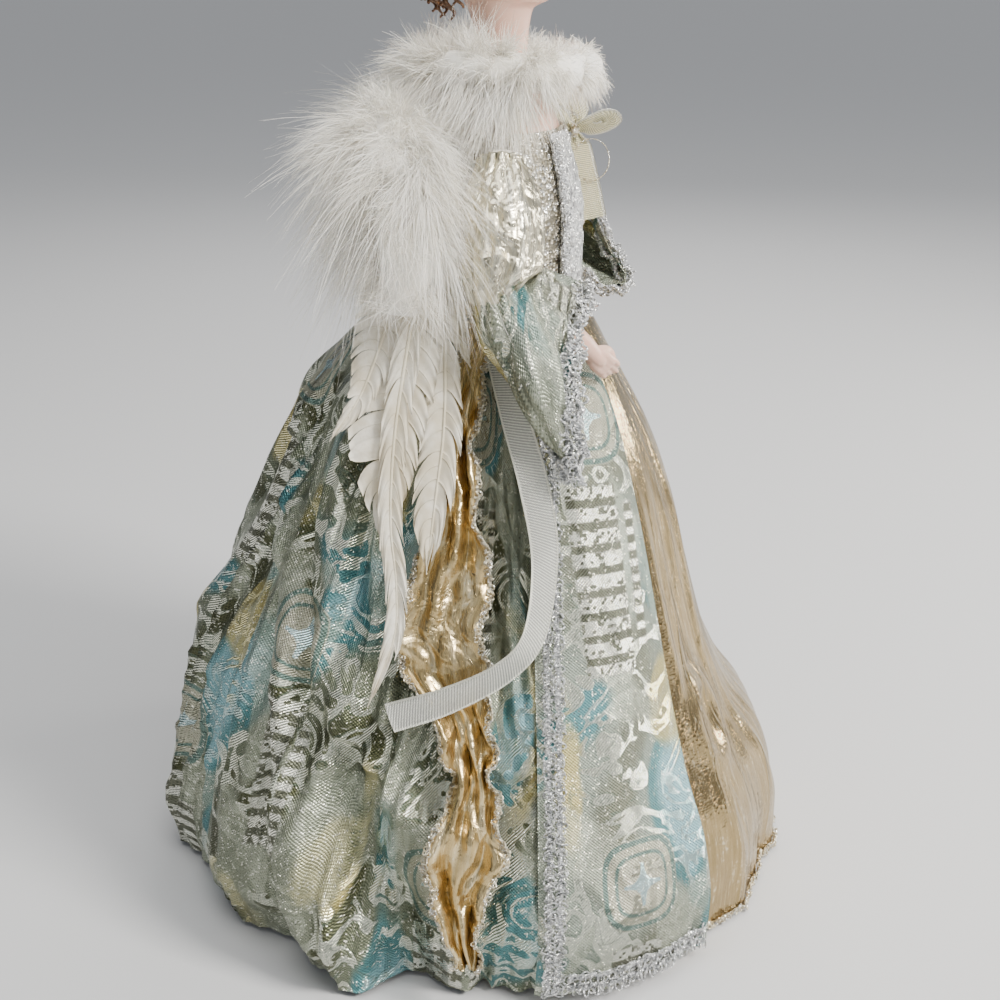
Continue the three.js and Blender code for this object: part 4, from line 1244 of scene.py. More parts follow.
    def underskirt(self) -> bpy.types.Object:
        """Build the underskirt, full round."""
        turn, fall = np.meshgrid(np.linspace(-180, 180, self.around), np.linspace(0, 1, 96))
        lift = self.under_lift(turn, fall)
        lift[:, -1] = lift[:, 0]
        grid = FORM.place(turn, fall, lift)
        down = run_of(grid)
        across = turn * math.radians(1) * FORM.side_reach * 0.9
        uv = np.stack([across, down], -1) * MM
        piece = cloth_wall("underskirt_cloth", grid, uv, self.finishes["front_lame"],
                           around=True)
        return self.finishes.settle(piece, "dress", "underskirt")

    def hem_line(self, reach: float, count: int) -> np.ndarray:
        """Points along the underskirt's hem in front."""
        turn = np.linspace(-reach, reach, count)
        line = FORM.place(turn, np.ones(count), self.under_lift(turn, np.ones(count)) + 0.4)
        line[:, 2] += 1.6
        return line

    def hem_cord(self) -> bpy.types.Object:
        """Build the wired glitter edge of the underskirt's hem."""
        line = self.hem_line(50.0, 260)
        piece = Trimming(self.finishes).loops(
            "underskirt_hem_edge", line, heading(np.linspace(-50, 50, 260)), "gold_braid",
            LoopBraid(width=3.4, pitch=1.7, wire=0.42, seed=4))
        return self.finishes.settle(piece, "dress", "underskirt_hem_cord")

    def build(self) -> None:
        """Build both skirts and their trim."""
        self.underskirt()
        self.hem_cord()
        self.overskirt()


class Planting:
    """Sets copies of a small form on many points, with Geometry Nodes."""

    def __init__(self) -> None:
        """Build the tree once."""
        self.tree = self._tree()
        self.units: dict[str, bpy.types.Object] = {}

    @staticmethod
    def _tree() -> bpy.types.NodeTree:
        """Instance on points, turn, size, realize, bend by attributes, set the material."""
        tree = bpy.data.node_groups.new("planting", "GeometryNodeTree")
        sockets = {"Geometry": "Geometry", "Unit": "Object", "Finish": "Material",
                   "Waver": "Float", "Waver Scale": "Float"}
        for word, kind in sockets.items():
            tree.interface.new_socket(name=word, in_out="INPUT", socket_type=f"NodeSocket{kind}")
        tree.interface.new_socket(name="Geometry", in_out="OUTPUT",
                                  socket_type="NodeSocketGeometry")
        w = Wiring(tree)
        given, out = w.node("NodeGroupInput"), w.node("NodeGroupOutput")

        def read(name: str, kind: str = "FLOAT_VECTOR") -> Socket:
            """Read a named attribute."""
            node = w.node("GeometryNodeInputNamedAttribute", {"data_type": kind}, Name=name)
            return node.outputs["Attribute"]

        unit_form = w.node("GeometryNodeObjectInfo", {"transform_space": "ORIGINAL"},
                           Object=given.outputs["Unit"])
        upright = w.node("FunctionNodeAlignRotationToVector", {"axis": "Z"}, Vector=read("aim"))
        turned = w.node("FunctionNodeAlignRotationToVector", {"axis": "Y", "pivot_axis": "Z"},
                        Rotation=upright.outputs[0], Vector=read("face"))
        placed = w.node("GeometryNodeInstanceOnPoints", None, Points=given.outputs["Geometry"],
                        Instance=unit_form.outputs["Geometry"], Rotation=turned.outputs[0],
                        Scale=read("size"))
        real = w.node("GeometryNodeRealizeInstances", None, Geometry=placed.outputs[0])
        along = read("along", "FLOAT")
        place = w.node("GeometryNodeInputPosition").outputs[0]
        wave = w.node("TexNoise", None, Vector=place, Scale=given.outputs["Waver Scale"],
                      Detail=1.0)
        drift = w.vector("SUBTRACT", wave.outputs["Color"], (0.5, 0.5, 0.5))
        drift = w.scaled(drift, w.math("MULTIPLY", along, given.outputs["Waver"]))
        bend = w.scaled(read("sag"), w.math("MULTIPLY", along, along))
        moved = w.node("GeometryNodeSetPosition", None, Geometry=real.outputs[0],
                       Offset=w.vector("ADD", drift, bend))
        smooth = w.node("GeometryNodeSetShadeSmooth", None, Geometry=moved.outputs[0])
        done = w.node("GeometryNodeSetMaterial", None, Geometry=smooth.outputs[0],
                      Material=given.outputs["Finish"])
        w.put(out.inputs["Geometry"], done.outputs[0])
        return tree

    def unit(self, name: str, points: np.ndarray, faces: Sequence,
             along: np.ndarray) -> bpy.types.Object:
        """Make a small form, in metres, that stands along Z from 0.

        Args:
            name: Name of the form.
            points: Its points.
            faces: Its faces.
            along: Share of its length at each point.

        Returns:
            The form's object, which is in no collection.
        """
        if name not in self.units:
            mesh = bpy.data.meshes.new(name)
            mesh.from_pydata(np.asarray(points).tolist(), [], [list(face) for face in faces])
            layer = mesh.attributes.new("along", "FLOAT", "POINT")
            layer.data.foreach_set("value", np.asarray(along, np.float32))
            self.units[name] = bpy.data.objects.new(name, mesh)
        return self.units[name]

    def strand(self, name: str, steps: int, tip: float) -> bpy.types.Object:
        """A flat tapering strand, one wide and one long before it is sized.

        Args:
            name: Name of the form.
            steps: Cells along it.
            tip: Width at its tip as a share of its root.

        Returns:
            The form's object.
        """
        share = np.linspace(0, 1, steps + 1)
        half = 0.5 * (1 + (tip - 1) * share ** 1.5)
        left = np.stack([-half, np.zeros_like(half), share], -1)
        right = np.stack([half, np.zeros_like(half), share], -1)
        points = np.stack([left, right], 1).reshape(-1, 3)
        faces = [(2 * i, 2 * i + 1, 2 * i + 3, 2 * i + 2) for i in range(steps)]
        return self.unit(name, points, faces, np.repeat(share, 2))

    def ring(self, name: str, width: float, length: float, wire: float) -> bpy.types.Object:
        """An oval ring of wire that stands on the origin.

        Args:
            name: Name of the form.
            width: Its width in metres.
            length: Its length in metres.
            wire: Radius of the wire in metres.

        Returns:
            The form's object.
        """
        angle = np.linspace(0, 2 * np.pi, 9)[:-1]
        centre = np.stack([np.sin(angle) * width / 2, 0 * angle,
                           (1 - np.cos(angle)) * length / 2], -1)
        out = np.stack([np.sin(angle), 0 * angle, -np.cos(angle)], -1)
        side = np.array([0.0, 1.0, 0.0])
        turn = np.arange(4) * np.pi / 2
        points = (centre[:, None] + wire * (out[:, None] * np.cos(turn)[:, None]
                                            + side * np.sin(turn)[:, None])).reshape(-1, 3)
        faces = []
        for i in range(8):
            for j in range(4):
                a, b = i * 4, ((i + 1) % 8) * 4
                faces.append((a + j, a + (j + 1) % 4, b + (j + 1) % 4, b + j))
        return self.unit(name, points, faces, points[:, 2] / length)

    def plant(self, name: str, unit_form: bpy.types.Object, material: bpy.types.Material,
              points: np.ndarray, aim: np.ndarray, face: np.ndarray, size: np.ndarray,
              sag: np.ndarray | None = None, waver: float = 0.0,
              waver_scale: float = 40.0) -> bpy.types.Object:
        """Set copies of a form on points.

        Args:
            name: Name of the new piece.
            unit_form: The form.
            material: Its finish.
            points: Places in millimetres.
            aim: Direction in which each copy stands.
            face: Direction that each copy's flat side is turned to.
            size: Size of each copy in three directions.
            sag: How far each copy's tip is bent, in millimetres.
            waver: How far the tips waver, in millimetres.
            waver_scale: Humps of the waver in a metre.

        Returns:
            The new piece, a plain mesh.
        """
        mesh = bpy.data.meshes.new(name)
        mesh.from_pydata((np.asarray(points) * MM).tolist(), [], [])
        sag = np.zeros_like(points) if sag is None else sag * MM
        for word, values in (("aim", aim), ("face", face), ("size", size), ("sag", sag)):
            layer = mesh.attributes.new(word, "FLOAT_VECTOR", "POINT")
            layer.data.foreach_set("vector", np.asarray(values, np.float32).ravel())
        holder = bpy.data.objects.new(name, mesh)
        bpy.context.scene.collection.objects.link(holder)
        modifier = holder.modifiers.new("planting", "NODES")
        modifier.node_group = self.tree
        sockets = {item.name: item.identifier for item in self.tree.interface.items_tree
                   if item.in_out == "INPUT"}
        modifier[sockets["Unit"]] = unit_form
        modifier[sockets["Finish"]] = material
        modifier[sockets["Waver"]] = waver * MM
        modifier[sockets["Waver Scale"]] = waver_scale
        graph = bpy.context.evaluated_depsgraph_get()
        made = bpy.data.meshes.new_from_object(holder.evaluated_get(graph), depsgraph=graph)
        holder.modifiers.clear()
        bpy.data.objects.remove(holder)
        bpy.data.meshes.remove(mesh)
        made.name = name
        made.materials.clear()
        made.materials.append(material)
        made.polygons.foreach_set("material_index", np.zeros(len(made.polygons), np.int32))
        for word in ("aim", "face", "size", "sag", "along"):
            if word in made.attributes:
                made.attributes.remove(made.attributes[word])
        piece = bpy.data.objects.new(name, made)
        bpy.context.scene.collection.objects.link(piece)
        return piece


def joined(name: str, pieces: Sequence[bpy.types.Object]) -> bpy.types.Object:
    """Join mesh objects into the first one.

    Args:
        name: Name of the result.
        pieces: The objects; all but the first are used up.

    Returns:
        The joined object.
    """
    with bpy.context.temp_override(active_object=pieces[0], object=pieces[0],
                                   selected_objects=list(pieces),
                                   selected_editable_objects=list(pieces)):
        bpy.ops.object.join()
    pieces[0].name = name
    pieces[0].data.name = name
    return pieces[0]


@dataclass(frozen=True)
class LoopBraid:
    """Sizes of a braid of wire loops."""

    width: float
    pitch: float
    wire: float
    seed: int
    rows: int = 1
    stand: float = 0.35


class Trimming:
    """Looped metallic braids along an edge."""

    planting: Planting | None = None

    def __init__(self, finishes: Finishes) -> None:
        """Keep the finishes; the planting tree is shared."""
        self.finishes = finishes
        if Trimming.planting is None:
            Trimming.planting = Planting()

    def loops(self, name: str, line: np.ndarray, out: np.ndarray, finish: str,
              braid: LoopBraid) -> bpy.types.Object:
        """Build a braid along a line, with a thin core under each row of loops.

        Args:
            name: Name of the piece.
            line: Points of its middle line.
            out: Direction off the cloth at each point.
            finish: Name of the material.
            braid: Its sizes.

        Returns:
            The piece.
        """
        rng = np.random.default_rng(braid.seed)
        run = run_of(line)
        count = max(4, int(run[-1] / braid.pitch))
        at = (np.arange(count) + 0.5) / count * run[-1]
        centre = np.stack([np.interp(at, run, line[:, n]) for n in range(3)], -1)
        normal = unit(np.stack([np.interp(at, run, out[:, n]) for n in range(3)], -1))
        along = unit(np.gradient(centre, axis=0))
        across = unit(np.cross(normal, along))
        row_width = braid.width / braid.rows
        loop = row_width * 0.78
        form = self.planting.ring(f"loop_{braid.width:g}_{braid.wire:g}", loop * 0.72 * MM,
                                  loop * MM, braid.wire * MM)
        places, aims, faces, sizes = [], [], [], []
        for row in range(braid.rows):
            middle = (row + 0.5) * row_width - braid.width / 2
            for sign in (-1, 1):
                jitter = rng.normal(size=(count, 3))
                aim = unit(across * sign + along * 0.30 + normal * braid.stand
                           + jitter * 0.22)
                foot = centre + across * (middle - sign * loop * 0.25)
                places.append(foot + along * rng.uniform(-0.4, 0.4, (count, 1)) * braid.pitch
                              + normal * braid.wire)
                aims.append(aim)
                faces.append(unit(normal + rng.normal(size=(count, 3)) * 0.35))
                sizes.append(np.repeat(rng.uniform(0.75, 1.2, (count, 1)), 3, axis=1))
        piece = self.planting.plant(name, form, self.finishes[finish], np.concatenate(places),
                                    np.concatenate(aims), np.concatenate(faces),
                                    np.concatenate(sizes))
        heap = Heap()
        for row in range(braid.rows):
            middle = (row + 0.5) * row_width - braid.width / 2
            wave = np.sin(at / braid.pitch * 1.4)[:, None] * row_width * 0.12
            points, sides = tube(centre + across * (middle + wave) + normal * braid.wire * 0.6,
                                 row_width * 0.24, 6, 0.45, normal[0])
            heap.put(points, sides)
        core = heap.piece(f"{name}_core", self.finishes[finish])
        return joined(name, [piece, core])


@dataclass
class Tabards:
    """Brocade tabard on each side of the front, edged with silver braid."""

    finishes: Finishes
    inner: float = 48.0
    outer: float = 81.0
    trim: float = 12.0
    lift: float = 4.2
    fold: float = 1.0
    foot: float = 0.985

    def top(self, turn: np.ndarray, fall: np.ndarray) -> np.ndarray:
        """Lift of the tabard off the dress outline, by turns on the figure's left."""
        noise = Ripple(23)
        bend = noise(turn * 0.06, fall * 2.0, 0.7) * 4
        soft = noise((turn + bend) * 0.14, fall * 2.2, 4.0) * 1.5
        rise = 1.5 + (self.lift - 1.5) * ease(fall, 0.0, 1 / 6)
        wave = np.sin(np.radians(turn * 12)) * self.fold
        return rise + (wave + soft) * ease(fall, 0.0, 0.5)

    def cloth(self, side: Side) -> bpy.types.Object:
        """Build one tabard."""
        turn, fall = np.meshgrid(np.linspace(self.inner, self.outer, 70),
                                 np.linspace(0, self.foot, 170))
        lift = self.top(turn, fall)
        roll = 1 - ease(np.minimum(turn - self.inner, self.outer - turn), 0.0, 1.2)
        grid = FORM.place(side.value * turn, fall, lift - roll * 1.0)
        down = run_of(grid)
        across = np.radians(63.0 - turn) * FORM.radius(turn, fall)
        uv = np.stack([across + 37.6, down + 108.4], -1) * MM
        piece = cloth_wall(f"{side.word}_tabard_cloth", grid, uv,
                           self.finishes["tabard_brocade"])
        return self.finishes.settle(piece, "dress", f"{side.word}_tabard")

    def side_braid(self, side: Side) -> bpy.types.Object:
        """Build the braid down the tabard's outer edge."""
        fall = np.linspace(0.05, self.foot, 220)
        width = self.trim / FORM.radius(np.full(220, self.outer), fall) / math.radians(1)
        turn = self.outer - width / 2
        line = FORM.place(side.value * turn, fall, self.top(turn, fall) + 0.3)
        piece = Trimming(self.finishes).loops(
            f"{side.word}_tabard_side_trim", line, heading(side.value * turn), "silver_braid",
            LoopBraid(self.trim * 0.68, 1.7, 0.32, 31, 2))
        return self.finishes.settle(piece, "dress", f"{side.word}_tabard_side_braid")

    def foot_braid(self, side: Side) -> bpy.types.Object:
        """Build the braid along the tabard's foot."""
        turn = np.linspace(self.inner + 1, self.outer - 5, 120)
        fall = np.full(120, self.foot - self.trim / 2 / FORM.length)
        line = FORM.place(side.value * turn, fall, self.top(turn, fall) + 0.8)
        piece = Trimming(self.finishes).loops(
            f"{side.word}_tabard_foot_trim", line, heading(side.value * turn), "silver_braid",
            LoopBraid(self.trim * 0.85, 1.8, 0.34, 32, 2))
        return self.finishes.settle(piece, "dress", f"{side.word}_tabard_foot_braid")

    def build(self) -> None:
        """Build both tabards and their braid."""
        for side in Side:
            self.cloth(side)
            self.side_braid(side)
            self.foot_braid(side)


@dataclass
class Sashes:
    """Gathered gold sash with glittering wired edges, one on each side."""

    finishes: Finishes
    cut_width: float = 34.0
    foot: float = 0.91
    middle: tuple[tuple[float, float], ...] = (
        (0.0, 100), (0.137, 102), (0.26, 99.5), (0.38, 101), (0.47, 99), (0.53, 95),
        (0.615, 92.5), (0.705, 93), (0.80, 94), (0.91, 92))
    shown: tuple[tuple[float, float], ...] = (
        (0.0, 0.32), (0.137, 0.42), (0.26, 0.55), (0.38, 0.86), (0.46, 0.92), (0.53, 0.58),
        (0.615, 0.38), (0.68, 0.66), (0.74, 0.80), (0.80, 0.52), (0.863, 0.34), (0.91, 0.26))

    def grid(self) -> tuple[np.ndarray, np.ndarray]:
        """Places and flat places of the sash on the figure's left.

        Returns:
            The grid of points, and the flat places in metres.
        """
        rows, columns = 240, 49
        fall = np.linspace(0.0, self.foot, rows)[:, None]
        across = np.linspace(-1, 1, columns)[None, :]
        noise = Ripple(41)
        shown = curve(self.shown, fall[:, 0])[:, None]
        half = self.cut_width / 2 * shown
        edge_wave = noise(fall * 26, across * 0.6, 2.0) * 3.2 * np.abs(across) ** 1.5
        turn = curve(self.middle, fall[:, 0])[:, None] + (
            (across * half + edge_wave) / FORM.radius(np.full_like(fall, 98.0), fall)
            / math.radians(1))
        depth = np.sqrt(np.clip(1 - shown ** 2, 0, 1)) * self.cut_width / 9.5
        phase = noise(fall * 7, 0.0, 8.0) * 2.4
        pleat = np.cos(np.pi * 2.2 * across + phase * 2.2 + 0.5) * 0.65 \
            + np.cos(np.pi * 3.9 * across - phase * 3.0 + 1.4) * 0.35
        rise = ease(fall, 0.02, 0.14)
        lift = 0.8 + rise * (depth * (1.0 + pleat))
        curl = ease(np.abs(across), 0.55, 1.0) * noise(fall * 19, across * 0.5, 5.0) * 4.2
        crumple = 1 - np.abs(noise(fall * 16, across * 1.5, 9.0)) * 2.6
        lift = lift + rise * (np.abs(curl) + noise(fall * 30, across * 2.0, 6.0) * 0.6
                              + crumple * 1.5)
        lift = lift + self.loop(fall, across)
        points = FORM.place(turn, np.broadcast_to(fall, turn.shape), lift)
        down = run_of(points[:, columns // 2])[:, None]
        flat = np.stack([np.broadcast_to(across * self.cut_width / 2, turn.shape),
                         np.broadcast_to(down, turn.shape)], -1) * MM
        return points, flat

    @staticmethod
    def loop(fall: np.ndarray, across: np.ndarray) -> np.ndarray:
        """Extra lift where the sash is twisted into two loops and its foot is folded up."""
        upper = np.exp(-((fall - 0.44) / 0.055) ** 2) * (3.5 - 3.0 * across)
        lower = np.exp(-((fall - 0.715) / 0.035) ** 2) * (4.5 + 3.0 * across)
        return upper + lower

    def build(self) -> None:
        """Build both sashes with their edges."""
        points, flat = self.grid()
        for side in Side:
            grid = points * np.array([side.value, 1, 1])
            piece = cloth_wall(f"{side.word}_sash_cloth", grid, flat,
                               self.finishes["gold_lame"], 0.5)
            outs = surface_normals(grid)
            edges = []
            for column, seed in ((0, 51), (-1, 52)):
                normal = outs[:, column]
                facing = np.sign(np.sum(normal * (grid[:, column] * [1, 1, 0]), -1))
                edges.append(Trimming(self.finishes).loops(
                    f"{side.word}_sash_edge_{seed}", grid[:, column],
                    normal * facing[:, None], "gold_braid",
                    LoopBraid(2.6, 1.5, 0.34, seed)))
            edging = joined(f"{side.word}_sash_edging", edges)
            self.finishes.settle(edging, "dress")
            self.finishes.settle(piece, "dress", f"{side.word}_sash")


@dataclass
class Ribbons:
    """Sheer silver ribbon at each side, tacked to the waistband."""

    finishes: Finishes
    width: float = 11.0
    band: float = 36.5
    route: tuple[tuple[float, float, float], ...] = (
        (0.035, 90, 5.5), (0.1, 86, 9.5), (0.2, 81, 9.5), (0.3, 79, 9.5), (0.4, 82, 13.0),
        (0.45, 88, 13.0), (0.49, 98, 13.0), (0.525, 108, 11.0))

    def build(self) -> None:
        """Build both ribbons."""
        for side in Side:
            tack = heading(side.value * 90.0) * self.band + np.array(
                [0, -FORM.body_shift, FORM.top + 3.0])
            points = [tack] + [FORM.place(side.value * turn, fall, lift)
                               for fall, turn, lift in self.route]
            line = spline(points, 90)
            along = unit(np.gradient(line, axis=0))
            out = unit(line * [1, 1, 0] + [0, FORM.body_shift / 2, 0])
            across = unit(np.cross(along, out))
            share = np.linspace(0, 1, 90)[:, None]
            out = unit(out + across * 0.35 * np.sin(share * 7.0))
            across = unit(np.cross(along, out))
            steps = np.linspace(-1, 1, 9)
            crown = (1 - steps ** 2) * 0.5
            grid = line[:, None] + across[:, None] * (steps * self.width / 2)[:, None] \
                + out[:, None] * crown[:, None]
            run = run_of(line)
            flat = np.stack(np.broadcast_arrays(steps[None] * self.width / 2, run[:, None]),
                            -1) * MM
            piece = cloth_wall(f"{side.word}_sheer_ribbon", grid, flat,
                               self.finishes["sheer_ribbon"], 0.25)
            self.finishes.settle(piece, "dress", f"{side.word}_ribbon")


class Tufts:
    """Long soft barbs planted in bunches, as on marabou."""

    def __init__(self, finishes: Finishes, seed: int) -> None:
        """Start an empty bunch list."""
        self.finishes = finishes
        self.rng = np.random.default_rng(seed)
        self.rows: list[tuple] = []
        if Trimming.planting is None:
            Trimming.planting = Planting()

    def bunch(self, roots: np.ndarray, aims: np.ndarray, length: float | np.ndarray, count: int,
              spread: float, droop: float, width: float = 0.24, loose: float = 1.2) -> None:
        """Plant one bunch at each root.

        Args:
            roots: Places of the bunches in millimetres.
            aims: Directions of the bunches.
            length: Usual length of a barb, one for all bunches or one for each.
            count: Barbs in a bunch.
            spread: How far the barbs of a bunch lean apart.
            droop: How far their tips hang, as a share of the length.
            width: Width of a barb at its root.
            loose: How far the barbs' roots lie apart.
        """
        rng = self.rng
        number = len(roots)
        shape = (number, count, 3)
        root = (roots[:, None] + rng.normal(size=shape) * loose).reshape(-1, 3)
        size = np.reshape(length, (-1, 1, 1)) * rng.uniform(0.75, 1.2, (number, 1, 1)) \
            * rng.uniform(0.45, 1, (number, count, 1))
        lean = rng.normal(size=(number, 1, 3)) * spread * 0.7 + rng.normal(size=shape) * spread
        aim = unit(unit(aims)[:, None] + lean).reshape(-1, 3)
        size = size.reshape(-1, 1)
        curl = np.repeat(rng.normal(size=(number, 3)) * 0.16, count, axis=0)
        sag = (curl + rng.normal(size=aim.shape) * 0.07 - [0, 0, droop]) * size
        wide = width * rng.uniform(0.7, 1.2, size.shape)
        self.rows.append((root, aim, unit(rng.normal(size=aim.shape)),
                          np.concatenate([wide * MM, np.ones_like(wide), size * MM], 1), sag))

    def piece(self, name: str, waver: float = 3.0) -> bpy.types.Object:
        """Make the piece from every bunch."""
        planting = Trimming.planting
        form = planting.strand("barb", 6, 0.25)
        root, aim, face, size, sag = (np.concatenate(part) for part in zip(*self.rows))
        return planting.plant(name, form, self.finishes["down"], root, aim, face, size, sag,
                              waver, 45.0)


def lumpy_core(name: str, line: np.ndarray, radius: np.ndarray, flat: float, seed: int,
               material: bpy.types.Material, up: Sequence[float] = (0, 0, 1)) -> bpy.types.Object:
    """Make the dense middle of a bunch of down.

    Args:
        name: Name of the piece.
        line: Its middle line.
        radius: Half width at each point of the line.
        flat: Thickness as a share of the width.
        seed: Seed of its lumps.
        material: Its finish.
        up: Direction of the thickness.

    Returns:
        The closed piece.
    """
    points, faces = tube(line, radius, 40, flat, up)
    lumps = Ripple(seed)
    x, y, z = (points / 7.0).T
    middle = np.repeat(line, 40, axis=0)
    points = middle + (points - middle) * (1 + 0.22 * lumps(x, y, z))[:, None]
    piece = make_piece(name, points, faces, material)
    recalculate(piece)
    return piece


@dataclass
class Collar:
    """Marabou round the neck and shoulders."""

    finishes: Finishes
    ring: float = 30.0
    core: float = 7.5
    middle: tuple[float, float, float] = (0.0, -8.0, 338.0)
    barb: float = 17.0
    front_trim: float = 0.6

    def build(self) -> None:
        """Build the dense ring and its barbs."""
        turn = np.linspace(0, 2 * np.pi, 97)
        around = np.stack([np.sin(turn), -np.cos(turn), 0 * turn], -1)
        line = np.asarray(self.middle) + around * self.ring
        core = lumpy_core("collar_core", line, np.full(97, self.core), 0.95, 61,
                          self.finishes["down"])
        tufts = Tufts(self.finishes, 62)
        rng = tufts.rng
        for count, length, spread, droop, number, low, high in (
                (110, self.barb, 0.34, 0.30, 46, -0.3, 2.1), (130, 20.0, 0.28, 0.55, 46, -1.5, 0.1),
                (190, 10.0, 0.5, 0.2, 20, -1.4, 2.1)):
            angle = rng.uniform(0, 2 * np.pi, count)
            tilt = rng.uniform(low, high, count)
            out = np.stack([np.sin(angle), -np.cos(angle), 0 * angle], -1)
            aim = out * np.cos(tilt)[:, None] + np.array([0, 0, 1]) * np.sin(tilt)[:, None]
            roots = np.asarray(self.middle) + out * self.ring + aim * self.core * 0.8
            reach = length * (1 - self.front_trim * ease(np.cos(angle), 0.05, 0.7))
            tufts.bunch(roots, aim + out * 0.25, reach, number, spread, droop, 0.26)
        barbs = tufts.piece("collar_barbs", 2.0)
        fall = Tufts(self.finishes, 66)
        angle = np.radians(fall.rng.uniform(74, 150, 110)) * fall.rng.choice([-1, 1], 110)
        out = np.stack([np.sin(angle), -np.cos(angle), 0 * angle], -1)
        roots = np.asarray(self.middle) + out * fall.rng.uniform(30, 37, (110, 1)) \
            - [0, 0, 1.0] * fall.rng.uniform(0, 7, (110, 1))
        fall.bunch(roots, out * 0.55 - [0, -0.25, 0.8], 29.0, 46, 0.16, 0.35, 0.24, 1.8)
        hanging = fall.piece("collar_fall_barbs", 3.0)
        self.finishes.settle(hanging, "dress")
        self.finishes.settle(barbs, "dress")
        self.finishes.settle(core, "dress", "feather_collar")


@dataclass(frozen=True)
class Feather:
    """One satin feather; places are (back, height) on the sheet that the feathers hang in."""

    name: str
    rachis: tuple[tuple[float, float], ...]
    hind: tuple[float, ...]
    fore: tuple[float, ...]
    order: float
    lobes: tuple[int, int]
    seed: int


@dataclass
class Wings:
    """Feather wings: down over a curved frame, with satin feathers below."""

    finishes: Finishes
    barb: float = 34.0
    route: tuple[tuple[float, float, float], ...] = (
        (-7, 36, 310), (-26, 37, 316.4), (-46, 33.2, 316.4), (-60.5, 28.2, 306.3),
        (-69.8, 25.3, 291.2), (-76.3, 25.3, 276.1), (-80.6, 26.7, 261.0))
    girth: tuple[float, ...] = (8, 12, 15, 17, 17, 15, 8)
    sheet_height: float = 262.0
    sheet_out: float = 68.6
    sheet_lean: float = 0.4
    feathers: tuple[Feather, ...] = (
        Feather("outer", ((25, 282), (30, 264), (36, 247), (43, 231), (53.3, 217.2)),
                (9, 12, 9.5, 4, 0), (9, 10, 8, 5, 0), 0.0, (5, 4), 71),
        Feather("second", ((20, 282), (22.5, 258), (26, 238), (30, 217), (32.5, 202), (35, 184)),
                (9, 12, 15, 18, 12, 0), (8, 10, 11, 10, 8, 0), 1.6, (6, 5), 72),
        Feather("tail", ((20, 278), (27, 240), (30.5, 215), (31.5, 190), (29.5, 170),
                         (30.5, 152), (39.7, 130)),
                (4, 5, 5, 4.5, 4, 3.6, 0), (4, 5, 5, 4.5, 4, 3.2, 0), -1.6, (7, 7), 73),
        Feather("front", ((17, 282), (13.5, 258), (12.3, 238), (13, 218), (15.5, 199),
                          (19, 172)),
                (7, 8, 8, 8, 8, 0), (6, 6, 5.5, 7, 6, 0), 3.2, (6, 6), 74),
        Feather("short", ((15, 280), (11, 265), (8, 253), (3, 240)),
                (5, 5, 4, 0), (5, 5, 3.5, 0), 4.6, (3, 3), 75))

    def shape(self, feather: Feather) -> tuple[np.ndarray, np.ndarray, np.ndarray]:
        """A feather's middle line and its two half widths."""
        count = 90
        middle = spline(feather.rachis, count)
        share = np.linspace(0, 1, len(feather.hind))
        at = np.linspace(0, 1, count)
        hind = curve(np.stack([share, feather.hind], -1), at)
        fore = curve(np.stack([share, feather.fore], -1), at)
        return middle, hind, fore

    def lift(self, flat: np.ndarray, out: np.ndarray) -> np.ndarray:
        """Stand flat places up on the feathers' sheet, on the figure's right."""
        back, height = flat[..., 0], flat[..., 1]
        x = -(self.sheet_out + (self.sheet_height - height) * self.sheet_lean) + out
        return np.stack([x, back, height], -1)

    def feather(self, plan: Feather) -> tuple[list, list]:
        """Points and faces of the vanes, and of the shaft, of one feather."""
        middle, hind, fore = self.shape(plan)
        rng = np.random.default_rng(plan.seed)
        along = unit(np.gradient(middle, axis=0))
        side = np.stack([along[:, 1], -along[:, 0]], -1)
        side *= np.where(side[len(side) // 2, 0] > 0, 1, -1)
        run = run_of(middle)
        vanes = []
        for sign, width, lobes in ((1, hind, plan.lobes[0]), (-1, fore, plan.lobes[1])):
            cuts = np.sort(np.linspace(0, 1, lobes * 3 + 1)
                           + np.append(0, np.append(rng.normal(size=lobes * 3 - 1) * 0.012, 0)))
            for i in range(lobes * 3):
                split = (i + plan.seed) % 3 == 0
                rows, columns = 9, 9
                start, end = np.clip(cuts[i], 0, 1), np.clip(cuts[i + 1], 0, 1)
                share = np.linspace(start, end, rows)[:, None]
                reach = np.linspace(0, 1, columns)[None, :]
                slide = rng.normal() * 0.03 if split else 0.0
                narrow = 1 - (0.75 * reach ** 4 if split else 0.22 * reach ** 6)
                centre = (start + end) / 2
                at = centre + (share - centre) * narrow + slide * reach ** 2
                at = at + reach ** 1.3 * 0.09
                foot = share * (len(middle) - 1)
                base = np.stack([np.interp(foot, np.arange(len(middle)), middle[:, n])
                                 for n in range(2)], -1)
                place = np.clip(at, 0, 1) * (len(middle) - 1)
                tip = np.stack([np.interp(place, np.arange(len(middle)), middle[:, n])
                                for n in range(2)], -1)
                wide = np.interp(place, np.arange(len(middle)), width) * (1 + 0.05 * split)
                out = np.stack([np.interp(place, np.arange(len(middle)), side[:, n])
                                for n in range(2)], -1) * sign
                flat = base + (tip - base) * reach[..., None] + out * (wide * reach)[..., None]
                curl = 1.6 * np.sin(reach * 2.4) + (rng.normal() * 1.6 if split else 0) * reach ** 2
                ripple = 0.35 * np.sin(share * 95 + plan.seed)
                grid = self.lift(flat, plan.order - curl * 0.8 + ripple * reach
                                 + 0.12 * (i % 2))
                length = share * run[-1]
                vanes.append((grid, np.stack(np.broadcast_arrays(
                    reach * 0.012 * sign, (length - reach * 4) * MM), -1)))
        shaft = self.lift(middle, plan.order - 0.3)
        return vanes, tube(shaft, np.linspace(0.75, 0.18, len(shaft)), 8, 0.8, (1, 0, 0))

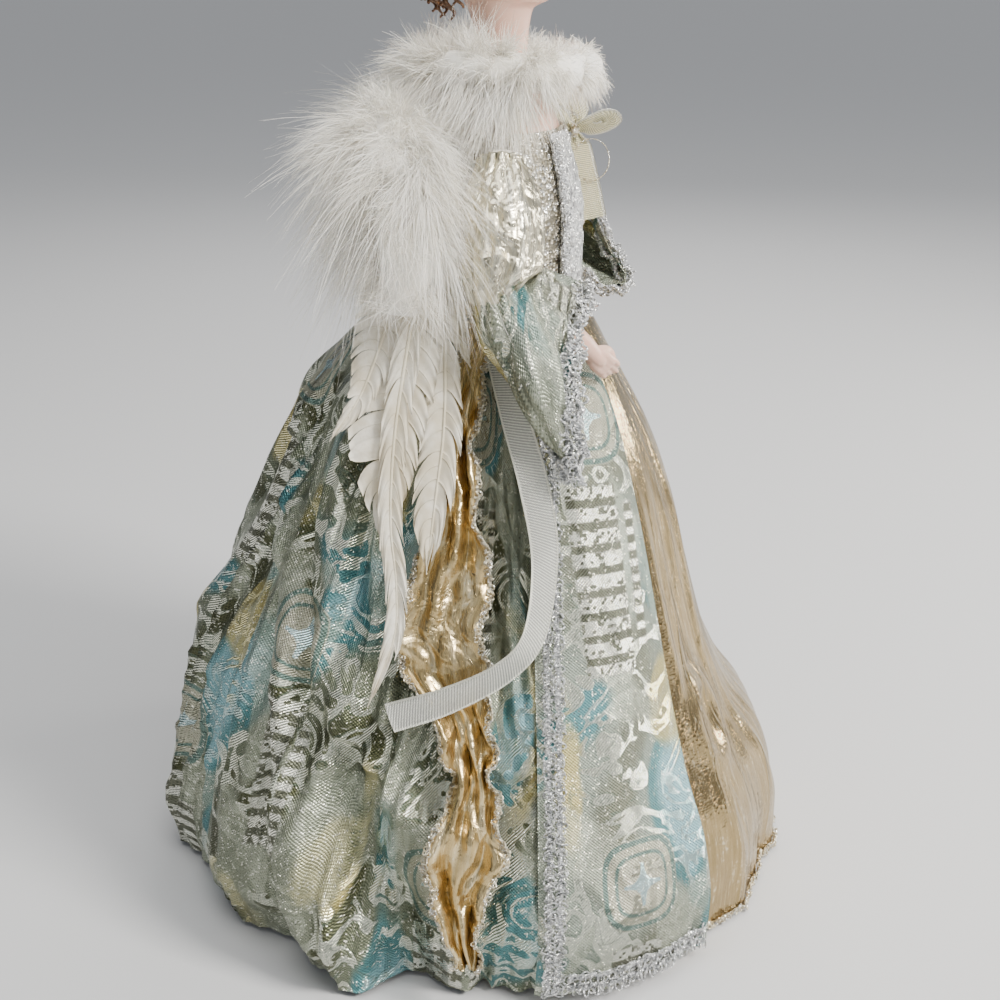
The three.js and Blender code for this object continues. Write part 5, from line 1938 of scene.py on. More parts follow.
    def build_feathers(self, side: Side) -> None:
        """Build one wing's feathers."""
        mirror = np.array([-side.value, 1, 1])
        for plan in self.feathers:
            vanes, (points, faces) = self.feather(plan)
            walls = []
            for number, (grid, uv) in enumerate(vanes):
                walls.append(cloth_wall(f"{side.word}_{plan.name}_vane_{number}", grid * mirror,
                                        uv, self.finishes["vane"], 0.12))
            vane = joined(f"{side.word}_{plan.name}_vane", walls)
            heap = Heap()
            heap.put(points * mirror, faces)
            shaft = heap.piece(f"{side.word}_{plan.name}_shaft", self.finishes["quill"])
            self.finishes.settle(shaft, f"{side.word}_wing")
            self.finishes.settle(vane, f"{side.word}_wing",
                                 f"{side.word}_feather_{plan.name}")

    def build_down(self, side: Side) -> None:
        """Build one wing's down."""
        mirror = np.array([-side.value, 1, 1])
        line = spline(self.route, 60)
        at = np.linspace(0, 1, len(self.girth))
        girth = curve(np.stack([at, self.girth], -1), np.linspace(0, 1, 60))
        core = lumpy_core(f"{side.word}_down_core", line * mirror, girth * 0.62, 0.6, 63,
                          self.finishes["down"], (1, 0, 0.4))
        tufts = Tufts(self.finishes, 64 + side.value)
        rng = tufts.rng
        along, across, out = frames_along(line, (0, 0, 1))
        for count, length, number, spread, droop, inside in (
                (120, self.barb, 46, 0.24, 0.50, 0.62), (90, 26.0, 46, 0.24, 0.45, 0.62),
                (190, 14.0, 22, 0.5, 0.3, 0.75)):
            spot = rng.uniform(0, 1, count) ** 0.9 * (59 if length < 20 else 45)
            angle = rng.uniform(0, 2 * np.pi, count)
            index = spot.astype(int)
            away = across[index] * np.cos(angle)[:, None] + out[index] * np.sin(angle)[:, None]
            roots = line[index] + away * girth[index, None] * inside
            lean = along[index] * (0.25 + 0.25 * spot[:, None] / 59) + [-0.25, 0.38, -0.2]
            aim = unit(away + lean)
            for rising, part in ((aim[:, 2] > 0.25, 0.62), (aim[:, 2] <= 0.25, 1.0)):
                tufts.bunch(roots[rising] * mirror, aim[rising] * mirror, length * part, number,
                            spread, droop, 0.24, 1.6)
        hanging = rng.uniform(14, 40, 60).astype(int)
        roots = line[hanging] + rng.normal(size=(60, 3)) * [3, 9, 4] - [6, 4, 0]
        tufts.bunch(roots * mirror, np.array([[-0.12, -0.1, -1.0]]) * mirror
                    + rng.normal(size=(60, 3)) * 0.14, 27.0, 40, 0.11, 0.1, 0.22)
        barbs = tufts.piece(f"{side.word}_down_barbs", 3.5)
        self.finishes.settle(barbs, f"{side.word}_wing")
        self.finishes.settle(core, f"{side.word}_wing", f"{side.word}_wing_down")

    def build(self) -> None:
        """Build both wings."""
        for side in Side:
            self.build_feathers(side)
            self.build_down(side)


@dataclass(frozen=True)
class BodyForm:
    """Oval sections of the stuffed body: height, half width, half depth."""

    shift: float = 8.0
    rows: tuple[tuple[float, float, float], ...] = (
        (234, 29.7, 29.7), (254, 29.7, 29.7), (265.15, 31.9, 29.8), (286.2, 36, 30),
        (297, 37.6, 28), (318, 40, 22), (325, 35.2, 18.7), (329.8, 22, 14.3), (333, 10.5, 10.5))

    def place(self, turn: np.ndarray, height: np.ndarray, lift: np.ndarray) -> np.ndarray:
        """Points on the body at turns, heights and distances off it."""
        turn, height, lift = np.broadcast_arrays(np.asarray(turn, float), height, lift)
        rows = np.asarray(self.rows)
        wide = np.interp(height, rows[:, 0], rows[:, 1]) + lift
        deep = np.interp(height, rows[:, 0], rows[:, 2]) + lift
        angle = np.radians(turn)
        return np.stack([wide * np.sin(angle), -self.shift - deep * np.cos(angle), height], -1)


BODY = BodyForm()


def flat_run(grid: np.ndarray) -> np.ndarray:
    """Flat places, in metres, of a grid of points that was cut from straight cloth."""
    down = run_of(grid).mean(1)[:, None]
    across = run_of(np.swapaxes(grid, 0, 1)).max(1)[None, :]
    return np.stack(np.broadcast_arrays(across, down), -1) * MM


@dataclass
class Bodice:
    """Glitter bodice with a silver stomacher, over a gold waistband."""

    finishes: Finishes
    foot: float = 248.8
    top: float = 317.6
    wall: float = 1.1

    def cloth(self) -> None:
        """Build the bodice, creased where the arms pull it."""
        turn, height = np.meshgrid(np.linspace(-180, 180, 145),
                                   np.linspace(self.top, self.foot, 60))
        noise = Ripple(81)
        x, y = np.sin(np.radians(turn)), np.cos(np.radians(turn))
        creases = noise(x * 2.4 + height * 0.03, y * 2.4, height * 0.09)
        grid = BODY.place(turn, height, 0.35 + self.wall)
        grid = grid - unit(grid * [1, 1, 0] + [0, 8, 0]) * np.clip(creases, 0, 1)[..., None] * 0.5
        flat = flat_run(grid)
        piece = cloth_wall("bodice_cloth", grid, flat, self.finishes["glitter_cloth"], 0.7, True)
        self.finishes.settle(piece, "dress", "bodice")

    def stomacher(self) -> None:
        """Build the silver glitter panel down the front, with a knotted edge."""
        turn, height = np.meshgrid(np.linspace(-45, 45, 60), np.linspace(316.5, 254.6, 60))
        noise = Ripple(83)
        puff = 0.5 + 0.5 * noise(turn * 0.13, height * 0.2)
        grid = BODY.place(turn, height, 2.0 + 1.3 * np.clip(puff, 0, 1))
        flat = flat_run(grid)
        piece = cloth_wall("stomacher_cloth", grid, flat, self.finishes["silver_glitter"], 0.6)
        trim = Trimming(self.finishes)
        edges = []
        for turn_at, seed in ((-43, 84), (43, 85)):
            height = np.linspace(314, 256, 70)
            line = BODY.place(np.full(70, turn_at), height, np.full(70, 3.2))
            edges.append(trim.loops(f"stomacher_edge_{seed}", line, unit(line * [1, 1, 0]
                                    + [0, 8, 0]), "silver_braid", LoopBraid(3.6, 1.4, 0.28, seed)))
        edging = joined("stomacher_edging", edges)
        self.finishes.settle(edging, "dress")
        self.finishes.settle(piece, "dress", "bodice_lace")

    def waistband(self) -> None:
        """Build the pleated gold band round the waist."""
        turn, height = np.meshgrid(np.linspace(-180, 180, 181), np.linspace(253.9, 248.5, 16))
        share = (height - 248.5) / 5.4
        noise = Ripple(87)
        x, y = np.sin(np.radians(turn)), np.cos(np.radians(turn))
        pleat = np.sin(share * 11 + noise(x * 4, y * 4, 1.0) * 2.2) * 0.35
        bulge = np.sqrt(np.clip(1 - (2 * share - 1) ** 4, 0, 1)) * 2.0
        radius = 32.9 + bulge + pleat
        grid = np.stack([x * radius, -8 - y * radius, height + 0 * radius], -1)
        flat = flat_run(grid)
        piece = cloth_wall("waistband_cloth", grid, flat, self.finishes["gold_lame"], 0.8, True)
        self.finishes.settle(piece, "dress", "waistband")

    def build(self) -> None:
        """Build the bodice, stomacher and waistband."""
        self.cloth()
        self.stomacher()
        self.waistband()


@dataclass(frozen=True)
class ArmForm:
    """Path of one arm, from shoulder to fingertips, and how its sleeve hangs."""

    side: Side
    shoulder: tuple[float, float, float]
    shares: tuple[tuple[float, float, float], ...]
    hang: tuple[float, float, float]
    across: tuple[float, float, float]
    reach: float = 74.0
    radius: float = 8.0
    flat: float = 0.65
    drop: float = 24.0

    def at(self, share: np.ndarray) -> np.ndarray:
        """Points of the path at shares of its steps."""
        inward, forward, up = np.asarray(self.shares).T * self.reach
        sign = self.side.value
        knots = np.stack([sign * (self.shoulder[0] - inward), self.shoulder[1] - forward,
                          self.shoulder[2] + up], -1)
        padded = np.vstack([2 * knots[0] - knots[1], knots, 2 * knots[-1] - knots[-2]])
        place = np.clip(np.asarray(share, float), 0, 1) * (len(knots) - 1)
        i = np.clip(place.astype(int), 0, len(knots) - 2)
        t = (place - i)[..., None]
        a, b, c, d = padded[i], padded[i + 1], padded[i + 2], padded[i + 3]
        return 0.5 * (2 * b + (c - a) * t + (2 * a - 5 * b + 4 * c - d) * t ** 2
                      + (3 * b - a - 3 * c + d) * t ** 3)

    def along(self, share: np.ndarray) -> np.ndarray:
        """Directions of the path."""
        share = np.asarray(share, float)
        return unit(self.at(np.minimum(share + 0.01, 1)) - self.at(np.maximum(share - 0.01, 0)))


RIGHT_ARM = ArmForm(Side.RIGHT, (48.5, -8.0, 312.0), (
    (0, 0, 0), (-0.136, 0, -0.297), (-0.22, 0, -0.595), (-0.2, 0.17, -0.76),
    (-0.14, 0.38, -0.89), (-0.08, 0.486, -1), (-0.03, 0.595, -1.108)), (-0.58, 0, -1), (0, -0.4, 1))
LEFT_ARM = ArmForm(Side.LEFT, (48.5, -8.0, 312.0), (
    (0, 0, 0), (-0.1, 0.08, -0.26), (-0.14, 0.2, -0.52), (-0.04, 0.38, -0.56),
    (0.07, 0.47, -0.44), (0.16, 0.47, -0.27), (0.22, 0.41, -0.1)), (0.1, -0.35, -0.94), (0, 1, 0.3),
    flat=0.85, drop=18.5)


@dataclass
class Arms:
    """Stuffed upper arm, puffed upper sleeve, and bell sleeve with looped cuff; the porcelain hands
    are built by Hands.
    """

    finishes: Finishes
    elbow: float = 0.34
    mouth: float = 0.70
    cuff: float = 9.0

    def rings(self, arm: ArmForm, share: np.ndarray, turn: np.ndarray, lift: np.ndarray,
              ahead: np.ndarray = 0.0) -> np.ndarray:
        """Points of the sleeve.

        Args:
            arm: The arm in the sleeve.
            share: Shares of the arm's path.
            turn: Angles round the sleeve, 0 at its lowest line.
            lift: Distance off the plain bell.
            ahead: Distance on, along the arm.

        Returns:
            The points in millimetres.
        """
        share, turn, lift, ahead = np.broadcast_arrays(share, turn, lift, ahead)
        table = [[0.02, 0], [0.08, 0], [0.18, 0.04], [0.28, 0.1], [0.38, 0.2], [0.48, 0.42],
                 [0.58, 0.72], [0.70, 1]]
        opened = curve(table, share)[..., None]
        side = np.array([arm.side.value, 0.0, 0.0])
        hang = side + (np.asarray(arm.hang) - side) * np.sqrt(np.clip(opened, 0, 1))
        along = arm.along(share)
        down = unit(hang - along * np.sum(hang * along, -1, keepdims=True) * (1 - opened * 0.7))
        across = unit(np.cross(along, down))
        radius = arm.radius + 0.3 + 2.6 * ease(share, 0.06, 0.28)[..., None]
        centre = arm.at(share) + down * arm.drop * opened * 0.6
        tall = radius + arm.drop * opened + lift[..., None]
        wide = radius * (1 + (arm.flat - 1) * opened) + lift[..., None]
        return centre + down * tall * np.cos(turn)[..., None] \
            + across * wide * np.sin(turn)[..., None] + along * ahead[..., None]

    @staticmethod
    def declare(arm: ArmForm, piece: bpy.types.Object, grid: np.ndarray,
                flat: np.ndarray) -> None:
        """Do nothing with a piece of sleeve.

        Args:
            arm: The arm in the sleeve; not used.
            piece: The piece; not used.
            grid: Its points; not used.
            flat: Their places on the flat cloth; not used.
        """

    def puff(self, arm: ArmForm) -> None:
        """Build the glossy puffed upper sleeve, gathered at the shoulder and the elbow."""
        share, turn = np.meshgrid(np.linspace(0.015, self.elbow + 0.03, 70),
                                  np.radians(np.linspace(-180, 180, 101)), indexing="ij")
        noise = Ripple(97 + arm.side.value)
        x, y = np.cos(turn), np.sin(turn)
        ends = np.minimum(share - 0.015, self.elbow + 0.03 - share)
        gathers = np.cos(turn * 13 + noise(x * 2, y * 2, share * 3) * 3) * np.exp(
            -(ends / 0.06) ** 2)
        full = ease(ends, 0.0, 0.11) * 4.2
        crumple = 1 - np.abs(noise(x * 2.3, y * 2.3, share * 11)) * 2.6
        lift = full + gathers * 0.9 + crumple * 1.5 * ease(ends, 0.0, 0.06) - 0.6
        grid = self.rings(arm, share, turn, lift)
        flat = flat_run(grid)
        piece = cloth_wall(f"{arm.side.word}_sleeve_puff", grid, flat, self.finishes["pale_lame"],
                           0.6, True)
        self.declare(arm, piece, grid, flat)
        self.finishes.mark(piece)
        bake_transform(piece)

    def sleeve(self, arm: ArmForm) -> None:
        """Build the bell of the sleeve, folded at the elbow."""
        share, turn = np.meshgrid(np.linspace(self.elbow, self.mouth, 70),
                                  np.radians(np.linspace(-180, 180, 121)), indexing="ij")
        noise = Ripple(91 + arm.side.value)
        x, y = np.cos(turn), np.sin(turn)
        start = share - self.elbow
        gathers = np.cos(turn * 17 + noise(x * 2, y * 2, 0.0) * 3) * np.exp(-(start / 0.05) ** 2)
        crumple = 1 - np.abs(noise(x * 1.9 + share * 2, y * 1.9, share * 8)) * 2.6
        bell = noise(x * 3.2, y * 3.2, share * 5 + 3.0) * ease(share, 0.35, 0.7)
        lift = 3.2 * ease(start, 0.0, 0.05) * ease(self.mouth - share, 0.0, 0.25) \
            + gathers * 0.8 + crumple * 2.2 * ease(start, 0, 0.06) * ease(
                self.mouth - share, 0.0, 0.12) + bell * 1.8
        back = -np.sin(turn) ** 2 * 13.0 * ease(share, 0.52, self.mouth)
        grid = self.rings(arm, share, turn, lift, back)
        flat = flat_run(grid) + [0.016, 0.024]
        name = f"{arm.side.word}_sleeve_cloth"
        piece = cloth_wall(name, grid, flat, self.finishes["sleeve_brocade"], 0.7, True)
        self.declare(arm, piece, grid, flat)
        body = f"{arm.side.word}_arm"
        self.finishes.settle(piece, body, f"{arm.side.word}_sleeve")
        count = 150
        angle = np.radians(np.linspace(-180, 180, count))
        at = np.full(count, self.mouth)
        lift = noise(np.cos(angle) * 3.2, np.sin(angle) * 3.2, self.mouth * 5 + 3.0) * 1.8
        pulled = -np.sin(angle) ** 2 * 13.0
        scallop = 1.6 * np.cos(angle * 11)
        line = self.rings(arm, at, angle, lift + 0.8, pulled + scallop - 1.5)
        inner = self.rings(arm, at, angle, lift - 4.0, pulled)
        braid = Trimming(self.finishes).loops(
            f"{arm.side.word}_cuff_trim", line, unit(line - inner), "silver_braid",
            LoopBraid(self.cuff, 1.7, 0.42, 95 + arm.side.value, 2, 0.6))
        self.finishes.settle(braid, body, f"{arm.side.word}_cuff_braid")

    def pad(self, arm: ArmForm) -> None:
        """Build the stuffed upper arm under the sleeve."""
        share = np.linspace(0.0, 0.57, 40)
        radius = arm.radius * (1 - 0.28 * share / 0.58) * 0.97
        radius[:3] *= [0.55, 0.85, 0.97]
        points, faces = tube(arm.at(share), radius, 24)
        piece = make_piece(f"{arm.side.word}_arm_pad", points, faces, self.finishes["stuffing"])
        recalculate(piece)
        self.finishes.settle(piece, f"{arm.side.word}_arm", f"{arm.side.word}_upper_arm")

    def build(self) -> None:
        """Build both arms."""
        for arm in (RIGHT_ARM, LEFT_ARM):
            self.pad(arm)
            self.puff(arm)
            self.sleeve(arm)


def blob(name: str, chains: Sequence[Sequence[Sequence[float]]], material: bpy.types.Material,
         voxel: float = 0.45, smooth: int = 6) -> bpy.types.Object:
    """Melt rounded chains into one skin.

    Args:
        name: Name of the piece.
        chains: Lists of places with a radius: x, y, z, radius.
        material: Its finish.
        voxel: Size of the remesh cells in millimetres.
        smooth: Passes of smoothing.

    Returns:
        The closed piece.
    """
    heap = Heap()
    ball = bmesh.new()
    bmesh.ops.create_icosphere(ball, subdivisions=2, radius=1.0)
    sphere = np.array([v.co for v in ball.verts])
    sides = [[v.index for v in face.verts] for face in ball.faces]
    ball.free()
    for chain in chains:
        knots = np.asarray(chain, float)
        steps = max(8, int(np.linalg.norm(np.diff(knots[:, :3], axis=0), axis=1).sum() / 0.7))
        line = spline(knots[:, :3], steps)
        at = np.linspace(0, 1, steps)
        radius = curve(np.stack([np.linspace(0, 1, len(knots)), knots[:, 3]], -1), at)
        for centre, size in zip(line, radius):
            heap.put(sphere * size + centre, sides)
    piece = make_piece(name, np.concatenate(heap.points), heap.faces, material)
    remesh = piece.modifiers.new("melt", "REMESH")
    remesh.mode = "VOXEL"
    remesh.voxel_size = voxel * MM
    soften = piece.modifiers.new("soften", "SMOOTH")
    soften.iterations = smooth
    soften.factor = 0.6
    graph = bpy.context.evaluated_depsgraph_get()
    skin = bpy.data.meshes.new_from_object(piece.evaluated_get(graph), depsgraph=graph)
    piece.modifiers.clear()
    piece.data = skin
    skin.materials.clear()
    skin.materials.append(material)
    skin.shade_smooth()
    return piece


@dataclass
class Hands:
    """Porcelain forearms and hands, the right one pinching, the left one holding a bow."""

    finishes: Finishes

    def place(self, arm: ArmForm, share: float, across: float, out: float) -> np.ndarray:
        """A place beside the arm's path: across the palm, and out of its back."""
        centre = arm.at(np.array([share]))[0]
        along = arm.along(np.array([share]))[0]
        side = np.asarray(arm.across, float)
        side = unit(side - along * np.dot(side, along))
        return centre + side * across + np.cross(along, side) * out

    def chain(self, arm: ArmForm, rows: Sequence[Sequence[float]]) -> list[list[float]]:
        """A chain of the skin, from rows of share, across, out and radius."""
        return [[*self.place(arm, share, across, out), radius]
                for share, across, out, radius in rows]

    def hand(self, arm: ArmForm, curl: float, pinch: float) -> bpy.types.Object:
        """Build one forearm with its hand.

        Args:
            arm: The arm.
            curl: How far the fingers bend towards the palm, in millimetres.
            pinch: How far the thumb comes to the first finger, in millimetres.

        Returns:
            The piece.
        """
        chains = [[(0.585, 0, 0, 5.2), (0.64, 0, 0, 5.0), (0.72, 0, 0, 4.4), (0.80, 0, 0, 3.6),
                   (0.84, 0, 0, 3.3)]]
        for across in (-2.6, -0.9, 0.9, 2.6):
            chains.append([(0.81, across * 0.7, 0, 2.5), (0.86, across, 0.1, 2.3),
                           (0.90, across, -0.2, 2.0)])
        for number, (across, reach) in enumerate(((3.3, 0.975), (1.15, 1.0), (-1.1, 0.985),
                                                  (-3.2, 0.955))):
            bend = curl * (1.0 + 0.25 * number)
            chains.append([(0.885, across, -0.1, 1.55), (0.925, across * 1.05, -bend * 0.25, 1.42),
                           (0.955, across * 1.02, -bend * 0.7, 1.28),
                           (reach, across * 0.92, -bend * 1.25, 1.02)])
        chains.append([(0.80, 2.4, -0.6, 1.9), (0.85, 4.6, -1.8, 1.8),
                       (0.895, 5.0 - pinch * 0.2, -3.0 - pinch * 0.2, 1.55),
                       (0.935, 4.4 - pinch * 0.5, -3.2 - pinch * 0.6, 1.2)])
        piece = blob(f"{arm.side.word}_hand_skin", [self.chain(arm, rows) for rows in chains],
                     self.finishes["porcelain"], 0.4, 5)
        return self.finishes.settle(piece, f"{arm.side.word}_arm", f"{arm.side.word}_hand")

    def build(self) -> None:
        """Build both hands."""
        self.hand(RIGHT_ARM, 2.2, 1.0)
        self.hand(LEFT_ARM, 2.6, 2.0)


@dataclass
class Bow:
    """Organza bow in the left hand: loops, tails and a thin wire loop."""

    finishes: Finishes
    width: float = 10.5

    def strip(self, points: Sequence[Sequence[float]], out: Sequence[float],
              gather: Callable[[np.ndarray], np.ndarray]) -> tuple[np.ndarray, np.ndarray]:
        """Points and flat places of a ribbon along a line.

        Args:
            points: Places that the line goes through, from the knot.
            out: Direction that the ribbon's face is turned to.
            gather: Share of the width that shows, along the line.

        Returns:
            The grid of points and the flat places in metres.
        """
        line = spline(points, 70)
        along = unit(np.gradient(line, axis=0))
        facing = np.asarray(out, float)
        across = unit(np.cross(along, facing[None, :]))
        normal = np.cross(across, along)
        share = np.linspace(0, 1, 70)
        shown = gather(share)
        steps = np.linspace(-1, 1, 13)
        half = self.width / 2 * shown
        depth = np.sqrt(np.clip(1 - shown ** 2, 0, 1)) * self.width / 11
        grid = line[:, None] + across[:, None] * (steps * half[:, None])[..., None] \
            + normal[:, None] * (np.cos(steps * 7.0) * depth[:, None])[..., None]
        run = run_of(line)
        flat = np.stack(np.broadcast_arrays(steps[None] * self.width / 2, run[:, None]), -1) * MM
        return grid, flat

    def build(self) -> None:
        """Build the loops, the tails and the wire."""
        hand = LEFT_ARM.at(np.array([1.0]))[0]
        knot = hand + np.array([-2.0, 0.2, 7.0])

        def pinched(share: np.ndarray) -> np.ndarray:
            """Gather both ends of a loop into the knot."""
            return 0.25 + 0.72 * ease(np.minimum(share, 1 - share), 0.0, 0.22)

        def freed(share: np.ndarray) -> np.ndarray:
            """Gather the knot's end of a tail."""
            return 0.25 + 0.74 * ease(share, 0.0, 0.22)

        shapes = {
            "upper_loop": ([(0, 0, 0), (-2.5, 5, 3), (-3.5, 10, 8), (-1.0, 6, 12), (1.0, 0, 10),
                            (0.8, -1, 4), (0, 0, 0)], (1, 0.2, 0.1), pinched),
            "front_loop": ([(0, 0, 0), (-2.8, -5.5, 2.5), (-3, -12, 5.5), (0, -14.5, 2.5),
                            (1.5, -10, 0), (0.8, -4.5, 0), (0, 0, 0)], (0.7, 0.2, 1), pinched),
            "front_tail": ([(0, 0, 0), (-1.4, -2.4, -9), (-1.6, -5.5, -21), (-1.8, -9, -36)],
                           (-1, 0, 0), freed),
            "hind_tail": ([(0, 0, 0), (0.4, 3, 2.5), (0.2, 7, 3.5), (-0.8, 10, 6)],
                          (-1, 0.2, 0), freed),
        }
        for number, (word, (route, out, gather)) in enumerate(shapes.items()):
            points = knot + np.asarray(route, float)
            grid, flat = self.strip(points, out, gather)
            piece = cloth_wall(f"bow_{word}", grid, flat, self.finishes["organza"], 0.2)
            shown = gather(np.linspace(0, 1, 70)).mean()
            self.finishes.settle(piece, "left_arm", *(["bow"] if number == 0 else []))
        heap = Heap()
        turn = np.linspace(0, 2 * np.pi, 60)
        ring = knot + np.stack([-2.5 + 0 * turn, -7 + 7.5 * np.sin(turn),
                                -12 + 8.5 * np.cos(turn)], -1)
        heap.put(*tube(ring, 0.22, 6))
        heap.put(*tube(knot + np.array([[-1.6, 0, 2.6], [-2.0, 0, 0], [-1.6, 0, -2.6]]),
                       [1.0, 1.9, 1.0], 12))
        wire = heap.piece("bow_wire", self.finishes["gold_braid"])
        self.finishes.settle(wire, "left_arm")


def bell(across: np.ndarray, up: np.ndarray, place: tuple[float, float],
         spread: tuple[float, float]) -> np.ndarray:
    """A soft hump of height 1 at a place, with its spread across and up."""
    return np.exp(-((across - place[0]) / spread[0]) ** 2 - ((up - place[1]) / spread[1]) ** 2)


@dataclass
class Head:
    """Painted porcelain head with a calm, plain doll's face, neck and shoulder plate."""

    finishes: Finishes
    eye: tuple[float, float] = (7.6, 388.8)
    almond: tuple[float, float] = (4.2, 2.1)
    iris: float = 2.05
    rows: tuple[tuple[float, float, float, float], ...] = (
        (297, -36, 20, 37.6), (310, -32.6, 16.6, 39.3), (318, -30, 14, 40),
        (325, -26.7, 10.7, 35.2), (329.8, -22.3, 6.3, 22), (333.5, -18.5, 2.6, 11.6),
        (340, -18.0, 2.0, 10.0), (349, -18.2, 2.2, 9.5), (355, -18.9, 3.4, 9.8),
        (359, -20.0, 4.8, 10.2), (360.4, -22.0, 5.6, 10.5), (361.6, -24.2, 6.2, 10.8),
        (363.5, -25.6, 7.0, 11.5), (366, -26.3, 8.0, 12.9), (370, -27.0, 9.4, 14.9),
        (375, -27.9, 11.2, 16.7), (382, -29.0, 13.2, 18.1), (390, -29.5, 14.3, 18.8),
        (398, -29.4, 14.7, 18.9), (405, -28.0, 14.2, 18.2), (411, -24.6, 12.6, 15.9),
        (416, -18.8, 8.4, 11.6), (418.9, -12.8, 3.2, 6.8), (420, -6.5, -2.5, 1.6))

    def relief(self, a: np.ndarray, z: np.ndarray) -> np.ndarray:
        """How far the face stands forward at a distance from its middle line and a height."""
        nose_tall = curve([[371.8, 0], [372.9, 1.0], [374.2, 4.0], [375.8, 5.5], [377.5, 5.4],
                           [381, 4.2], [386, 2.7], [390, 1.4], [393, 0.7], [397, 0]],
                          np.clip(z, 371.8, 397))
        nose_wide = curve([[371.8, 2.2], [376.5, 2.6], [381, 2.1], [386, 1.8], [397, 2.2]],
                          np.clip(z, 371.8, 397))
        mouth = self.mouth(a)
        upper = np.exp(-((z - mouth - 1.15) / 0.85) ** 2) * ease(4.9 - a, 0, 2.0)
        lower = np.exp(-((z - mouth + 1.45) / 1.1) ** 2) * ease(4.3 - a, 0, 2.4)
        line = np.exp(-((z - mouth) / 0.33) ** 2) * ease(5.2 - a, 0, 1.0)
        x, y = self.eye
        lid = self.lid(a)
        slit = ease(lid - np.abs(z - y + 0.25), -0.15, 0.35)
        fold = np.exp(-((z - y - lid - 1.5) / 0.4) ** 2) * ease(4.4 - np.abs(a - x), 0, 1.5)
        return (nose_tall * np.exp(-(a / nose_wide) ** 2)
                - 2.3 * bell(a, z, (x - 0.3, y + 1.0), (4.9, 3.9))
                + 2.0 * bell(a, z, (x, y), (3.7, 2.8)) - 0.8 * bell(a, z, (3.5, y), (1.5, 3.0))
                - 0.45 * slit - 0.4 * fold
                + 0.8 * bell(a, z, (x, 395.4), (5.2, 2.1))
                + 2.0 * bell(a, z, (2.9, 375.3), (1.25, 1.5))
                - 0.5 * bell(a, z, (4.5, 375.4), (0.7, 1.8))
                - 0.9 * bell(a, z, (1.4, 373.3), (0.65, 0.55))
                - 0.4 * bell(a, z, (0, 371.2), (0.8, 1.3))
                + 1.1 * bell(a, z, (0, 368.5), (6.2, 4.2))
                + 1.05 * upper + 1.35 * lower - 0.85 * line
                - 0.9 * bell(a, z, (0, 364.6), (3.4, 1.1))
                + 1.2 * bell(a, z, (0, 362.7), (3.9, 1.9))
                + 0.9 * bell(a, z, (9.6, 381), (4.8, 5.0))
                - 0.5 * bell(a, z, (15, 396), (3.0, 5.0)))

    @staticmethod
    def mouth(a: np.ndarray) -> np.ndarray:
        """Height of the line between the lips."""
        return 368.2 + 0.012 * a ** 2 - 0.22 * np.exp(-(a / 0.9) ** 2)

    def lid(self, a: np.ndarray) -> np.ndarray:
        """Half height of the open eye at a distance from the face's middle line."""
        reach = np.clip(1 - ((a - self.eye[0]) / self.almond[0]) ** 2, 0, 1)
        return self.almond[1] * reach ** 0.65

    def hairline(self, points: np.ndarray) -> np.ndarray:
        """How far points are inside the hairline, in degrees seen from the skull's middle."""
        x, y, z = (points - SKULL.middle).reshape(-1, 3).T
        away = np.degrees(np.arccos(np.clip(z / np.sqrt(x * x + y * y + z * z), -1, 1)))
        turn = np.abs(np.degrees(np.arctan2(x, -y)))
        return 57 + 12 * ease(turn, 15, 55) + 50 * ease(turn, 55, 110) - away

    def paint(self, points: np.ndarray, front: np.ndarray) -> tuple[np.ndarray, np.ndarray]:
        """Colours of the painted places, and how much each covers."""
        flat = points.reshape(-1, 3)
        a, z = np.abs(flat[:, 0]), flat[:, 2]
        tint = np.zeros((len(flat), 3))
        cover = np.zeros(len(flat))

        def brush(mask: np.ndarray, colour: Sequence[float], face: bool = True) -> None:
            """Lay one colour over what is there."""
            mask = np.clip(mask * (front if face else 1), 0, 1)
            total = np.maximum(mask + cover * (1 - mask), 1e-9)
            share = (mask / total)[:, None]
            tint[:] = np.asarray(colour) * share + tint * (1 - share)
            cover[:] = np.where(total > 1e-8, total, 0)

        x, y = self.eye
        lid = self.lid(a)
        up = z - y + 0.25
        mouth = self.mouth(a)
        brush(0.42 * bell(a, z, (10.6, 379.5), (4.6, 3.8)), (0.76, 0.27, 0.22))
        brush(0.14 * bell(a, z, (0, 376), (2.6, 2.2)) + 0.16 * bell(a, z, (0, 362.6), (3.4, 2)),
              (0.76, 0.30, 0.24))
        brush(0.32 * bell(a, z, (x + 0.4, y + 2.9), (3.9, 1.7)), (0.45, 0.24, 0.18))
        top = 1.75 * (1 - (a / 5.0) ** 2) + 0.25 * np.exp(-((a - 1.2) / 0.8) ** 2) \
            - 0.35 * np.exp(-(a / 0.6) ** 2)
        bottom = 2.35 * (1 - (a / 4.7) ** 2)
        lips = ease(np.where(z > mouth, top, bottom) - np.abs(z - mouth), -0.15, 0.35)
        brush(0.88 * lips * ease(4.95 - a, 0, 0.5), (0.47, 0.12, 0.11))
        brush(0.75 * np.exp(-((z - mouth) / 0.22) ** 2) * ease(4.9 - a, 0, 0.6),
              (0.20, 0.04, 0.04))
        eye = ease(lid - np.abs(up), -0.1, 0.15) * ease(self.almond[0] - np.abs(a - x), 0, 0.2)
        brush(eye, (0.84, 0.82, 0.77))
        apart = np.hypot(a - x + 0.1, z - y - 0.05)
        brush(eye * ease(self.iris + 0.12 - apart, 0, 0.25), (0.07, 0.04, 0.025))
        brush(eye * ease(self.iris - 0.25 - apart, 0, 0.3), (0.22, 0.12, 0.05))
        brush(eye * ease(1.0 - apart, 0, 0.25), (0.01, 0.01, 0.01))
        light = np.hypot(a - x - 0.35, z - y - 0.75)
        brush(eye * ease(0.5 - light, 0, 0.2), (1.0, 1.0, 1.0))
